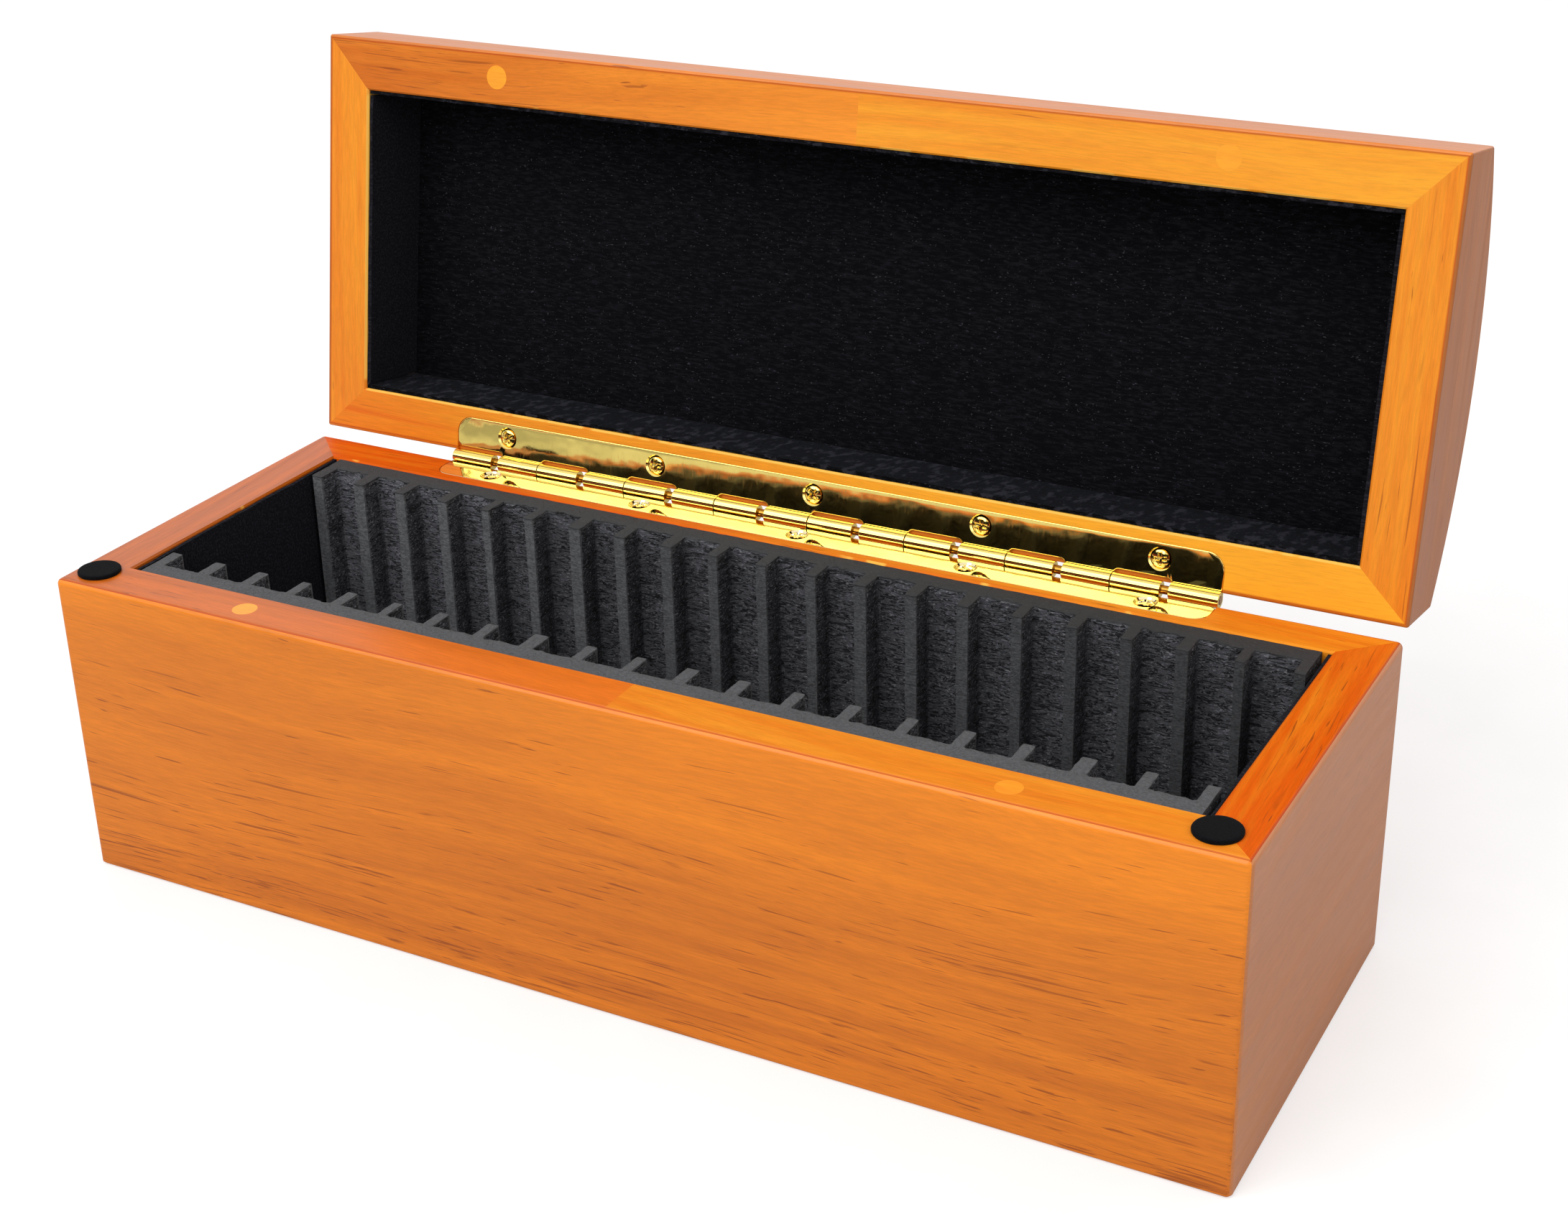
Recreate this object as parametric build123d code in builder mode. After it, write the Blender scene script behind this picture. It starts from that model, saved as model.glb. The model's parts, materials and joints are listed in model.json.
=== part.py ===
from build123d import *
import os
from math import cos, radians, sin, sqrt

# A box for twenty coin slabs: a veneered wooden body with mitred corners, a crowned lid on a long
# stop hinge, and two combs of black foam that hold the slabs upright between them.
# Sizes are in mm. X runs along the box, the front faces -Y and Z is up. The origin is on the
# surface that the box stands on, under the middle of the body. The lid is drawn at rest, held
# open by its hinge.

# The case
case_length = 272.0
case_depth = 95.4
body_height = 72.3
front_thickness = 12.1
rear_thickness = 11.0
end_thickness = 11.5
veneer = 0.6
rim_round = 1.3
foot_ease = 0.6
rim_arris = 0.4
splice_x = 5.0

# The base and the velvet linings
panel_thickness = 5.0
panel_rebate = 6.0
felt_thickness = 0.8
lining = 1.0
lining_below_rim = 0.5

# The lid
lid_edge_height = 18.4
lid_crown = 12.2
lid_cavity_depth = 20.0
lid_panel_rebate = 5.0
lid_round = 0.6
open_angle = 99.7

# The hinge: two leaves of one pattern, one of them turned end for end. Each knuckle has the small
# gap on one side and the wide space, where the pin shows, on the other. The screws and their
# countersunk seats are small, so they have flats in place of round faces.
closed_gap = 1.1
axis_behind_rear = 1.35
knuckle_count = 16
knuckle_pitch = 12.1
knuckle_gap = 0.16
knuckle_space = 1.9
barrel_radius = 1.8
pin_radius = 0.95
pin_clearance = 0.05
leaf_width = 8.55
leaf_thickness = 0.85
leaf_corner = 4.0
window_inset = 1.1
leaf_bevel = 0.25
curl_gap = 0.25
screw_count = 5
screw_pitch = 41.25
screw_inset = 4.95
screw_sink_radius = 2.6
screw_below = 0.25
screw_length = 9.0
screw_sides = 12

# The foam combs
slot_count = 20
slot_pitch = 12.1
rib_thickness = 2.8
rib_reach = 6.2
comb_base = 5.0
comb_below_rim = 0.3
worn_corner = 3.0

# The rim's pads and catch magnets
pad_radius = 4.75
pad_thickness = 0.9
left_pad_x = -129.5
right_pad_x = 127.1
pad_y = -40.5
magnet_x = 88.0
magnet_inset = 5.9
magnet_radius = 2.7
magnet_length = 4.0
plug_thickness = 1.5

# Worked out from the sizes above
half_length = case_length / 2
half_depth = case_depth / 2
opening_length = case_length - 2 * end_thickness
opening_depth = case_depth - front_thickness - rear_thickness
opening_y = (front_thickness - rear_thickness) / 2
panel_length = opening_length + 2 * panel_rebate
panel_depth = opening_depth + 2 * panel_rebate
panel_top = felt_thickness + panel_thickness
floor_top = panel_top + lining
lid_height = lid_edge_height + lid_crown
screw_head_radius = screw_sink_radius - screw_below
screw_shank_radius = screw_sink_radius - leaf_thickness
crown_radius = (half_depth**2 + lid_crown**2) / (2 * lid_crown)
hinge_length = knuckle_count * knuckle_pitch
knuckle_length = knuckle_pitch - (knuckle_gap + knuckle_space) / 2
screw_places = [(i - (screw_count - 1) / 2) * screw_pitch for i in range(screw_count)]
first_knuckle = (knuckle_gap + knuckle_length - hinge_length) / 2
own_knuckles = [first_knuckle + i * knuckle_pitch for i in range(0, knuckle_count, 2)]
magnet_places = [(side * magnet_x, magnet_inset - half_depth) for side in (-1, 1)]

# Planes. hinge_axis_body and hinge_axis_lid stand on the hinge's axis, and each has the wood that
# carries its leaf on its -Y, -Z side, so one leaf pattern serves both.
rim = Plane.XY.offset(body_height)
swing = radians(open_angle)
axis_point = (0, half_depth + axis_behind_rear, body_height + closed_gap / 2)
lid_swung = Plane(origin=axis_point, x_dir=(1, 0, 0), z_dir=(0, sin(swing), cos(swing)))
lid_rim = Plane(
    origin=lid_swung.from_local_coords((0, -axis_behind_rear - half_depth, closed_gap / 2)),
    x_dir=lid_swung.x_dir,
    z_dir=lid_swung.z_dir,
)
lid_side = Plane(origin=lid_rim.origin, x_dir=lid_rim.y_dir, z_dir=lid_rim.x_dir)
hinge_axis_body = Plane(origin=axis_point, x_dir=(1, 0, 0), z_dir=(0, 0, 1))
hinge_axis_lid = Plane(origin=axis_point, x_dir=(-1, 0, 0), z_dir=-lid_swung.z_dir)

os.makedirs("parts", exist_ok=True)


def save(piece, name):
    """Names a finished piece and writes it to its own file."""
    piece.part.label = name
    export_step(piece.part, f"parts/{name}.step")


def crown_height(y, inset=0.0):
    """Height of the lid's crown above its rim, y from the middle, for an arc `inset` below it."""
    return lid_height - crown_radius + sqrt((crown_radius - inset) ** 2 - y**2)


def outline(length, depth, middle_y=0.0):
    """The corners of a rectangle seen from above, from the front left one to the right and round."""
    front, rear = middle_y - depth / 2, middle_y + depth / 2
    return [(-length / 2, front), (length / 2, front), (length / 2, rear), (-length / 2, rear)]


# The outlines that the veneers and the boards of a mitred frame lie between
case_outline = outline(case_length, case_depth)
board_outline = outline(case_length - 2 * veneer, case_depth - 2 * veneer)
opening_outline = outline(opening_length, opening_depth, opening_y)


def framed_piece(base, side, outer, inner, height, envelope, cutters=()):
    """One side of a mitred frame that lies between two outlines, trimmed to its envelope."""
    start = ("front", "right", "rear", "left").index(side)
    end = (start + 1) % 4
    with BuildPart() as piece:
        with BuildSketch(base):
            Polygon(outer[start], outer[end], inner[end], inner[start], align=None)
        extrude(amount=height)
        add(envelope.part, mode=Mode.INTERSECT)
        for cutter in cutters:
            add(cutter.part, mode=Mode.SUBTRACT)
    return piece


def board_half(whole, keep):
    """The board on one side of the butt joint in a front wall or rail."""
    with BuildPart() as half:
        add(whole.part)
        split(bisect_by=Plane.YZ.offset(splice_x), keep=keep)
    return half


def slab_on(base, length, depth, thickness, centre=(0, opening_y)):
    """A flat rectangular sheet that lies on the plane `base`, in the opening unless told otherwise."""
    with BuildPart() as sheet:
        with BuildSketch(base):
            with Locations(centre):
                Rectangle(length, depth)
        extrude(amount=thickness)
    return sheet


def discs_on(base, radius, thickness, centres):
    """Equal discs or rods that stand on the plane `base`."""
    with BuildPart() as discs:
        with BuildSketch(base):
            with Locations(*centres):
                Circle(radius)
        extrude(amount=thickness)
    return discs


# The body's outer form, with eased edges, which its boards and veneers are cut from
with BuildPart() as body_envelope:
    with BuildSketch(Plane.XY):
        Rectangle(case_length, case_depth)
    extrude(amount=body_height)
    upright_edges = body_envelope.edges().filter_by(Axis.Z)
    top_edges = body_envelope.faces().sort_by(Axis.Z)[-1].edges()
    fillet(upright_edges + top_edges, rim_round)
    chamfer(body_envelope.faces().sort_by(Axis.Z)[0].edges(), foot_ease)


# The hinge
def screw_seats(axis_plane):
    """Where the screws of one leaf enter it, with Z out of the leaf's face."""
    return [
        Plane(
            origin=axis_plane.from_local_coords((x, -axis_behind_rear - screw_inset, -closed_gap / 2)),
            x_dir=axis_plane.x_dir,
            z_dir=axis_plane.z_dir,
        )
        for x in screw_places
    ]


def hinge_leaf(axis_plane):
    """A leaf with windows for the other leaf's knuckles, its own knuckles and its screw holes."""
    window_edge = axis_behind_rear + window_inset
    plate_width = axis_behind_rear + leaf_width - window_edge
    face_height = -closed_gap / 2
    underside = axis_plane.offset(face_height - leaf_thickness)
    across = Plane(origin=axis_plane.origin, x_dir=axis_plane.y_dir, z_dir=axis_plane.x_dir)
    with BuildPart() as leaf:
        with BuildSketch(underside) as plate:
            with Locations((0, -window_edge - plate_width / 2)):
                Rectangle(hinge_length, plate_width)
            fillet(plate.vertices().group_by(Axis.Y)[0], leaf_corner)
        extrude(amount=leaf_thickness)
        face_edges = leaf.faces().sort_by(Axis(underside.origin, underside.z_dir))[-1].edges()
        outer_edges = face_edges.sort_by(Axis(underside.origin, underside.y_dir))[:-1]
        chamfer(outer_edges, leaf_bevel)
        with BuildSketch(underside):
            with Locations(*[(x, -window_edge / 2) for x in own_knuckles]):
                Rectangle(knuckle_length, window_edge)
        extrude(amount=leaf_thickness)
        for x in own_knuckles:
            with BuildSketch(across.offset(x - knuckle_length / 2)):
                Circle(barrel_radius)
            extrude(amount=knuckle_length)
        # The pin's bore, and the slit where each rolled knuckle ends short of the leaf's face
        with BuildSketch(across.offset(-hinge_length)):
            Circle(pin_radius + pin_clearance)
            with Locations((-barrel_radius / 2, face_height + curl_gap / 2)):
                Rectangle(barrel_radius, curl_gap)
        extrude(amount=2 * hinge_length, mode=Mode.SUBTRACT)
        for seat in screw_seats(axis_plane):
            with BuildSketch(seat):
                RegularPolygon(screw_sink_radius, screw_sides)
            with BuildSketch(seat.offset(-leaf_thickness)):
                RegularPolygon(screw_shank_radius, screw_sides)
            loft(ruled=True, mode=Mode.SUBTRACT)
    return leaf


def hinge_screws(axis_plane):
    """Countersunk screws that fill their seats, heads a little below the leaf's face."""
    with BuildPart() as screws:
        for seat in screw_seats(axis_plane):
            with BuildSketch(seat.offset(-screw_below)):
                RegularPolygon(screw_head_radius, screw_sides)
            with BuildSketch(seat.offset(-leaf_thickness)):
                RegularPolygon(screw_shank_radius, screw_sides)
            with BuildSketch(seat.offset(-screw_length)):
                RegularPolygon(screw_shank_radius, screw_sides)
            loft(ruled=True)
    return screws


def hinge_seat(axis_plane):
    """The recess for a leaf and the holes for its screws, to be cut from the wood."""
    with BuildPart() as seat:
        with BuildSketch(axis_plane.offset(-closed_gap / 2 - leaf_thickness)) as recess:
            with Locations((0, -axis_behind_rear - leaf_width / 2 + rim_round)):
                Rectangle(hinge_length, leaf_width + 2 * rim_round)
            fillet(recess.vertices().group_by(Axis.Y)[0], leaf_corner)
        extrude(amount=leaf_thickness + rim_round)
        add(hinge_screws(axis_plane).part)
    return seat


body_hinge_seat = hinge_seat(hinge_axis_body)
lid_hinge_seat = hinge_seat(hinge_axis_lid)
save(hinge_leaf(hinge_axis_body), "hinge_box_leaf")
save(hinge_leaf(hinge_axis_lid), "hinge_lid_leaf")
save(hinge_screws(hinge_axis_body), "hinge_box_screws")
save(hinge_screws(hinge_axis_lid), "hinge_lid_screws")

with BuildPart() as hinge_pin:
    with BuildSketch(Plane.YZ.offset(-hinge_length / 2)):
        with Locations((axis_point[1], axis_point[2])):
            Circle(pin_radius)
    extrude(amount=hinge_length)
save(hinge_pin, "hinge_pin")

# The body's catch magnets, under plugs that finish flush with the rim
body_plug_plane = rim.offset(-plug_thickness)
body_magnet_plane = body_plug_plane.offset(-magnet_length)
save(discs_on(body_plug_plane, magnet_radius, plug_thickness, magnet_places), "box_magnet_plugs")
save(discs_on(body_magnet_plane, magnet_radius, magnet_length, magnet_places), "box_magnets")
body_magnet_bores = discs_on(
    body_magnet_plane, magnet_radius, magnet_length + 2 * plug_thickness, magnet_places
)

# The body's boards and veneers
base_rebate = slab_on(Plane.XY, panel_length, panel_depth, panel_top)
with BuildPart() as body_arris:
    with BuildSketch(rim.offset(-rim_arris)):
        with Locations((0, opening_y)):
            Rectangle(opening_length, opening_depth)
    extrude(amount=rim_arris, taper=-45)

board_cuts = [base_rebate, body_arris]
front_wall = framed_piece(
    Plane.XY,
    "front",
    board_outline,
    opening_outline,
    body_height,
    body_envelope,
    board_cuts + [body_magnet_bores],
)
save(board_half(front_wall, Keep.BOTTOM), "front_wall_left_board")
save(board_half(front_wall, Keep.TOP), "front_wall_right_board")
rear_wall = framed_piece(
    Plane.XY,
    "rear",
    board_outline,
    opening_outline,
    body_height,
    body_envelope,
    board_cuts + [body_hinge_seat],
)
save(rear_wall, "rear_wall")
for side in ("left", "right"):
    end_wall = framed_piece(
        Plane.XY, side, board_outline, opening_outline, body_height, body_envelope, board_cuts
    )
    save(end_wall, f"{side}_end_wall")
for side, name in (("front", "front"), ("rear", "rear"), ("left", "left_end"), ("right", "right_end")):
    cuts = [body_hinge_seat] if side == "rear" else []
    face = framed_piece(Plane.XY, side, case_outline, board_outline, body_height, body_envelope, cuts)
    save(face, f"{name}_veneer")

# The base and the velvet inside the body
save(slab_on(Plane.XY, panel_length, panel_depth, felt_thickness), "base_felt")
save(slab_on(Plane.XY.offset(felt_thickness), panel_length, panel_depth, panel_thickness), "base_panel")
save(slab_on(Plane.XY.offset(panel_top), opening_length, opening_depth, lining), "floor_lining")
end_lining_height = body_height - lining_below_rim - floor_top
for side, name in ((-1, "left_end_lining"), (1, "right_end_lining")):
    centre = (side * (opening_length - lining) / 2, opening_y)
    save(slab_on(Plane.XY.offset(floor_top), lining, opening_depth, end_lining_height, centre), name)

# The foam combs: a strip with a rib each side of every slot
comb_length = slot_count * slot_pitch + rib_thickness
comb_height = body_height - comb_below_rim - floor_top
slot_end_y = opening_y - opening_depth / 2 + comb_base
with BuildPart() as foam_comb_front:
    with BuildSketch(Plane.XY.offset(floor_top)):
        with Locations((0, slot_end_y - comb_base / 2)):
            Rectangle(comb_length, comb_base)
        with Locations((0, slot_end_y + rib_reach / 2)):
            with GridLocations(slot_pitch, 0, slot_count + 1, 1):
                Rectangle(rib_thickness, rib_reach)
    extrude(amount=comb_height)
save(foam_comb_front, "foam_comb_front")

with BuildPart() as foam_comb_rear:
    mirror(foam_comb_front.part, about=Plane.XZ.offset(-opening_y))
    rear_upright_edges = foam_comb_rear.edges().filter_by(Axis.Z).group_by(Axis.Y)[-1]
    fillet(rear_upright_edges.sort_by(Axis.X)[0], worn_corner)
save(foam_comb_rear, "foam_comb_rear")

# The felt pads that keep the lid off the front corners
pad_places = [(left_pad_x, pad_y), (right_pad_x, pad_y)]
save(discs_on(rim, pad_radius, pad_thickness, pad_places), "corner_pads")

# The lid's outer form: a crowned block with eased edges
with BuildPart() as lid_envelope:
    with BuildSketch(lid_side):
        with BuildLine():
            edge_top = crown_height(half_depth)
            Polyline((-half_depth, edge_top), (-half_depth, 0), (half_depth, 0), (half_depth, edge_top))
            ThreePointArc((half_depth, edge_top), (0, lid_height), (-half_depth, edge_top))
        make_face()
    extrude(amount=half_length, both=True)
    fillet(lid_envelope.edges(), lid_round)

# What is under the top veneer, over the whole length
with BuildPart() as under_veneer:
    with BuildSketch(lid_side):
        with BuildLine():
            reach = half_depth + veneer
            edge_top = crown_height(reach, veneer)
            Polyline((-reach, edge_top), (-reach, -veneer), (reach, -veneer), (reach, edge_top))
            ThreePointArc((reach, edge_top), (0, lid_height - veneer), (-reach, edge_top))
        make_face()
    extrude(amount=half_length + veneer, both=True)

with BuildPart() as lid_top_veneer:
    add(lid_envelope.part)
    add(under_veneer.part, mode=Mode.SUBTRACT)
save(lid_top_veneer, "lid_top_veneer")

with BuildPart() as lid_core:
    add(lid_envelope.part)
    add(under_veneer.part, mode=Mode.INTERSECT)

# The crowned top, which rests on rebates in the end rails
lid_panel_bottom = lid_cavity_depth + lining
with BuildPart() as lid_top_panel:
    with BuildSketch(lid_rim.offset(lid_panel_bottom)):
        with Locations((0, opening_y)):
            Rectangle(opening_length + 2 * lid_panel_rebate, opening_depth)
    extrude(amount=lid_height)
    add(lid_core.part, mode=Mode.INTERSECT)
save(lid_top_panel, "lid_top_panel")

# The lid's catch magnets, opposite those of the body when it is shut
save(discs_on(lid_rim, magnet_radius, plug_thickness, magnet_places), "lid_magnet_plugs")
lid_magnet_plane = lid_rim.offset(plug_thickness)
save(discs_on(lid_magnet_plane, magnet_radius, magnet_length, magnet_places), "lid_magnets")
lid_magnet_bores = discs_on(
    lid_rim.offset(-plug_thickness), magnet_radius, magnet_length + 2 * plug_thickness, magnet_places
)

# The lid's rails and veneers
with BuildPart() as lid_arris:
    with BuildSketch(lid_rim):
        with Locations((0, opening_y)):
            Rectangle(opening_length + 2 * rim_arris, opening_depth + 2 * rim_arris)
    extrude(amount=rim_arris, taper=45)

rail_cuts = [lid_arris, lid_top_panel]
lid_front_rail = framed_piece(
    lid_rim,
    "front",
    board_outline,
    opening_outline,
    lid_height,
    lid_core,
    rail_cuts + [lid_magnet_bores],
)
save(board_half(lid_front_rail, Keep.BOTTOM), "lid_front_rail_left_board")
save(board_half(lid_front_rail, Keep.TOP), "lid_front_rail_right_board")
lid_rear_rail = framed_piece(
    lid_rim,
    "rear",
    board_outline,
    opening_outline,
    lid_height,
    lid_core,
    rail_cuts + [lid_hinge_seat],
)
save(lid_rear_rail, "lid_rear_rail")
for side in ("left", "right"):
    end_rail = framed_piece(
        lid_rim, side, board_outline, opening_outline, lid_height, lid_core, rail_cuts
    )
    save(end_rail, f"lid_{side}_rail")
for side in ("front", "rear", "left", "right"):
    cuts = [lid_hinge_seat] if side == "rear" else []
    face = framed_piece(lid_rim, side, case_outline, board_outline, lid_height, lid_core, cuts)
    save(face, f"lid_{side}_veneer")

# The velvet in the lid
lid_lining_plane = lid_rim.offset(lid_cavity_depth)
save(slab_on(lid_lining_plane, opening_length, opening_depth, lining), "lid_top_lining")
lining_start = lid_rim.offset(lining_below_rim)
lining_height = lid_cavity_depth - lining_below_rim
for side, name in ((-1, "lid_front_lining"), (1, "lid_rear_lining")):
    centre = (0, opening_y + side * (opening_depth - lining) / 2)
    save(slab_on(lining_start, opening_length, lining, lining_height, centre), name)
for side, name in ((-1, "lid_left_lining"), (1, "lid_right_lining")):
    centre = (side * (opening_length - lining) / 2, opening_y)
    end_length = opening_depth - 2 * lining
    save(slab_on(lining_start, lining, end_length, lining_height, centre), name)
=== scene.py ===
"""Dresses the coin slab display box: stained wood, velvet, foam combs, a gold hinge and a studio."""

import json
import math
import random

import bmesh
import bpy
from bpy.props import (
    FloatProperty,
    FloatVectorProperty,
    IntProperty,
    PointerProperty,
)
from mathutils import Matrix, Vector, noise


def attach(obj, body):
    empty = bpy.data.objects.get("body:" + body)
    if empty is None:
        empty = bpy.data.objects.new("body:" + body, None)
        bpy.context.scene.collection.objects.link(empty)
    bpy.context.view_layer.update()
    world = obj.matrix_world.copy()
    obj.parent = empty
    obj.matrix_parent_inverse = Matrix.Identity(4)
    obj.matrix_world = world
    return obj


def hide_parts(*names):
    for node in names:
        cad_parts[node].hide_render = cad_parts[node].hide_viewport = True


bl_info = {
    "name": "Coin slab display box",
    "version": (1, 0, 0),
    "blender": (4, 5, 0),
    "location": "3D View > Sidebar > Slab Box",
    "description": "Builds the finishes, soft parts and hinge of a coin slab display box on its CAD frame",
    "category": "Object",
}

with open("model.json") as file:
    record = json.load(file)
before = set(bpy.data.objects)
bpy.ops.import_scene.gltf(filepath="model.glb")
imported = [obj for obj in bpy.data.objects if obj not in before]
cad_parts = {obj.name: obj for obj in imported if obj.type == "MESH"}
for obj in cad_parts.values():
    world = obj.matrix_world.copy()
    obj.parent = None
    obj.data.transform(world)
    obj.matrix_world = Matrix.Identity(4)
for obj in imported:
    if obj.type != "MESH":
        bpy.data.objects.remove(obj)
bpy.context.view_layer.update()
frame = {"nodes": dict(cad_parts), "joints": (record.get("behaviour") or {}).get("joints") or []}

LID_JOINT = frame["joints"][0]
HINGE_AXIS = Vector(LID_JOINT["pos_m"])
SWING = math.radians(LID_JOINT["range_deg"][1])

# The body's pieces are worked out where they stand, and the lid's where they are when it is shut.
# OPENED takes a point of the shut lid to where it is at rest.
STANDING = Matrix.Identity(4)
OPENED = (
    Matrix.Translation(HINGE_AXIS)
    @ Matrix.Rotation(-SWING, 4, "X")
    @ Matrix.Translation(-HINGE_AXIS)
)
PLACES = {"box": STANDING, "lid": OPENED}
LEAF_PLACES = {
    "box": Matrix.Translation(HINGE_AXIS),
    "lid": OPENED @ Matrix.Translation(HINGE_AXIS) @ Matrix.Rotation(math.pi, 4, "Y"),
}
MM = 0.001

WHITE = (1.0, 1.0, 1.0)
DEEP_RED = (1.0, 0.06, 0.04)
STRAY_FIBRE = (0.045, 0.047, 0.055)
FOAM_GLINT = (0.26, 0.26, 0.28)


def length_property(name, description, default):
    """A size in metres that a user may change."""
    return FloatProperty(name=name, description=description, default=default, unit="LENGTH", precision=5)


def colour_property(name, description, default):
    """A surface colour that a user may change."""
    return FloatVectorProperty(
        name=name,
        description=description,
        default=default,
        subtype="COLOR",
        size=3,
        min=0.0,
        max=1.0,
    )


def angle_property(name, description, default):
    """An angle in radians that a user may change."""
    return FloatProperty(name=name, description=description, default=default, subtype="ANGLE")


def strength_property(name, description, default):
    """A light's strength that a user may change."""
    return FloatProperty(name=name, description=description, default=default, min=0.0)


class WoodFinish(bpy.types.PropertyGroup):
    """Colours of the stained wood."""

    face_dark: colour_property("Face, dark", "Dark tone of the long veneers", (0.45, 0.104, 0.009))
    face_light: colour_property("Face, light", "Light tone of the long veneers", (0.90, 0.255, 0.010))
    end_dark: colour_property("End, dark", "Dark tone of the end veneers", (0.45, 0.138, 0.031))
    end_light: colour_property("End, light", "Light tone of the end veneers", (0.65, 0.215, 0.048))
    rim_dark: colour_property("Rim, dark", "Dark tone of the lighter boards", (0.72, 0.105, 0.003))
    rim_light: colour_property("Rim, light", "Light tone of the lighter boards", (1.0, 0.43, 0.026))
    brown_dark: colour_property("Brown rim, dark", "Dark tone of the browner boards", (0.47, 0.098, 0.004))
    brown_light: colour_property("Brown rim, light", "Light tone of the browner boards", (0.92, 0.20, 0.009))
    tan_dark: colour_property("Tan rim, dark", "Dark tone of the lid's left board", (0.63, 0.152, 0.013))
    tan_light: colour_property("Tan rim, light", "Light tone of the lid's left board", (1.0, 0.335, 0.030))
    stain: colour_property("Stain line", "Stain gathered between board and veneer", (0.46, 0.055, 0.005))
    # The pale inner edge is partly worn wood and partly a painted highlight on the chamfer
    arris_and_highlight: colour_property("Inner edge", "Pale wood of the worn inner edges", (1.0, 0.56, 0.09))
    pore: colour_property("Pores", "Dark pore dashes", (0.26, 0.050, 0.006))
    plug_dark: colour_property("Plugs, dark", "Dark tone of the plugs", (1.0, 0.30, 0.018))
    plug_light: colour_property("Plugs, light", "Light tone of the plugs", (1.0, 0.42, 0.026))
    panel: colour_property("Panels", "Plain board of the base", (0.60, 0.36, 0.17))


class SoftParts(bpy.types.PropertyGroup):
    """Sizes and colours of the foam, velvet and felt."""

    slot_count: IntProperty(name="Slots", description="Slab slots in the row", default=20, min=2)
    slot_pitch: length_property("Slot pitch", "Distance from slot to slot", 0.0121)
    rib_thickness: length_property("Rib thickness", "Mean thickness of a foam rib", 0.0028)
    rib_reach: length_property("Rib reach", "How far a rib stands out of its strip", 0.0062)
    strip_depth: length_property("Strip depth", "Depth of the foam behind the slots", 0.005)
    foam_skin: colour_property("Foam skin", "Moulded skin of the foam", (0.098, 0.100, 0.105))
    foam_cut: colour_property("Foam, cut", "Torn foam at the back of the slots", (0.092, 0.093, 0.104))
    # The ribs' sides are coloured darker than the slots' backs: painted shade
    foam_side: colour_property("Foam, sides", "Torn foam on the sides of the ribs", (0.046, 0.046, 0.052))
    velvet: colour_property("Velvet", "Black velvet", (0.0026, 0.0026, 0.0034))
    felt: colour_property("Felt", "Black felt", (0.0014, 0.0015, 0.0021))


class HingeSizes(bpy.types.PropertyGroup):
    """Sizes and colour of the hinge."""

    knuckle_count: IntProperty(name="Knuckles", description="Knuckles on the pin", default=16, min=2)
    knuckle_pitch: length_property("Knuckle pitch", "Distance from knuckle to knuckle", 0.0121)
    knuckle_gap: length_property("Knuckle gap", "Small gap on one side of a knuckle", 0.00016)
    knuckle_space: length_property("Knuckle space", "Wide space on its other side", 0.0019)
    barrel_radius: length_property("Barrel radius", "Outer radius of a knuckle", 0.0018)
    bore_radius: length_property("Bore radius", "Inner radius of a knuckle", 0.001)
    axis_behind: length_property("Axis behind the wall", "From the rear face to the pin", 0.00135)
    leaf_width: length_property("Leaf width", "From the rear face to the leaf's edge", 0.00855)
    leaf_thickness: length_property("Leaf thickness", "Thickness of a leaf", 0.00085)
    leaf_drop: length_property("Leaf drop", "From the pin's axis down to a leaf's face", 0.00055)
    leaf_corner: length_property("Leaf corner", "Radius of a leaf's outer corners", 0.004)
    window_inset: length_property("Window inset", "From the rear face to a window's edge", 0.0011)
    window_corner: length_property("Window corner", "Radius of a window's corners", 0.0012)
    curl_gap: length_property("Curl gap", "Slit where a rolled knuckle ends", 0.00025)
    screw_count: IntProperty(name="Screws", description="Screws in a leaf", default=5, min=1)
    screw_pitch: length_property("Screw pitch", "Distance from screw to screw", 0.04125)
    screw_inset: length_property("Screw inset", "From the rear face to the screws", 0.00495)
    screw_sink_radius: length_property("Seat radius", "Radius of a countersunk seat", 0.0026)
    screw_below: length_property("Head depth", "How far a head's edge lies below the face", 0.00025)
    screw_length: length_property("Screw length", "Length of a screw below the face", 0.009)
    plating: colour_property("Plating", "Mirror-polished gold plate", (1.0, 0.78, 0.22))
    pin_plating: colour_property("Pin", "Darker gold of the pin between the knuckles", (0.42, 0.20, 0.03))
    leaf_twist: angle_property("Leaf twist", "Lean of the lid leaf's ends out of flat", 0.03)


class StudioSettings(bpy.types.PropertyGroup):
    """The camera and the light."""

    azimuth: angle_property("Azimuth", "Camera's turn to the right of the front", math.radians(28.636))
    elevation: angle_property("Elevation", "Camera's angle above the horizon", math.radians(25.503))
    roll: angle_property("Roll", "Camera's turn about its own line of sight", math.radians(-1.401))
    position: FloatVectorProperty(
        name="Position",
        description="Camera's place",
        default=(0.24041, -0.4045, 0.29506),
        subtype="XYZ",
        unit="LENGTH",
    )
    focal: FloatProperty(
        name="Focal length",
        description="Lens for a sensor 36 mm wide",
        default=56.815,
        min=1.0,
    )
    sky: strength_property("Sky", "Strength of the light from straight above", 0.93)
    horizon: strength_property("Horizon", "Strength of the light from the sides", 0.50)
    key: strength_property("Key light", "Power of the large front light in watts", 17.6)
    fill: strength_property("Fill light", "Power of the right light in watts", 3.0)


class SlabBoxSettings(bpy.types.PropertyGroup):
    """Everything that a user may change."""

    wood: PointerProperty(type=WoodFinish)
    soft: PointerProperty(type=SoftParts)
    hinge: PointerProperty(type=HingeSizes)
    studio: PointerProperty(type=StudioSettings)


# Mesh helpers


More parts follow.
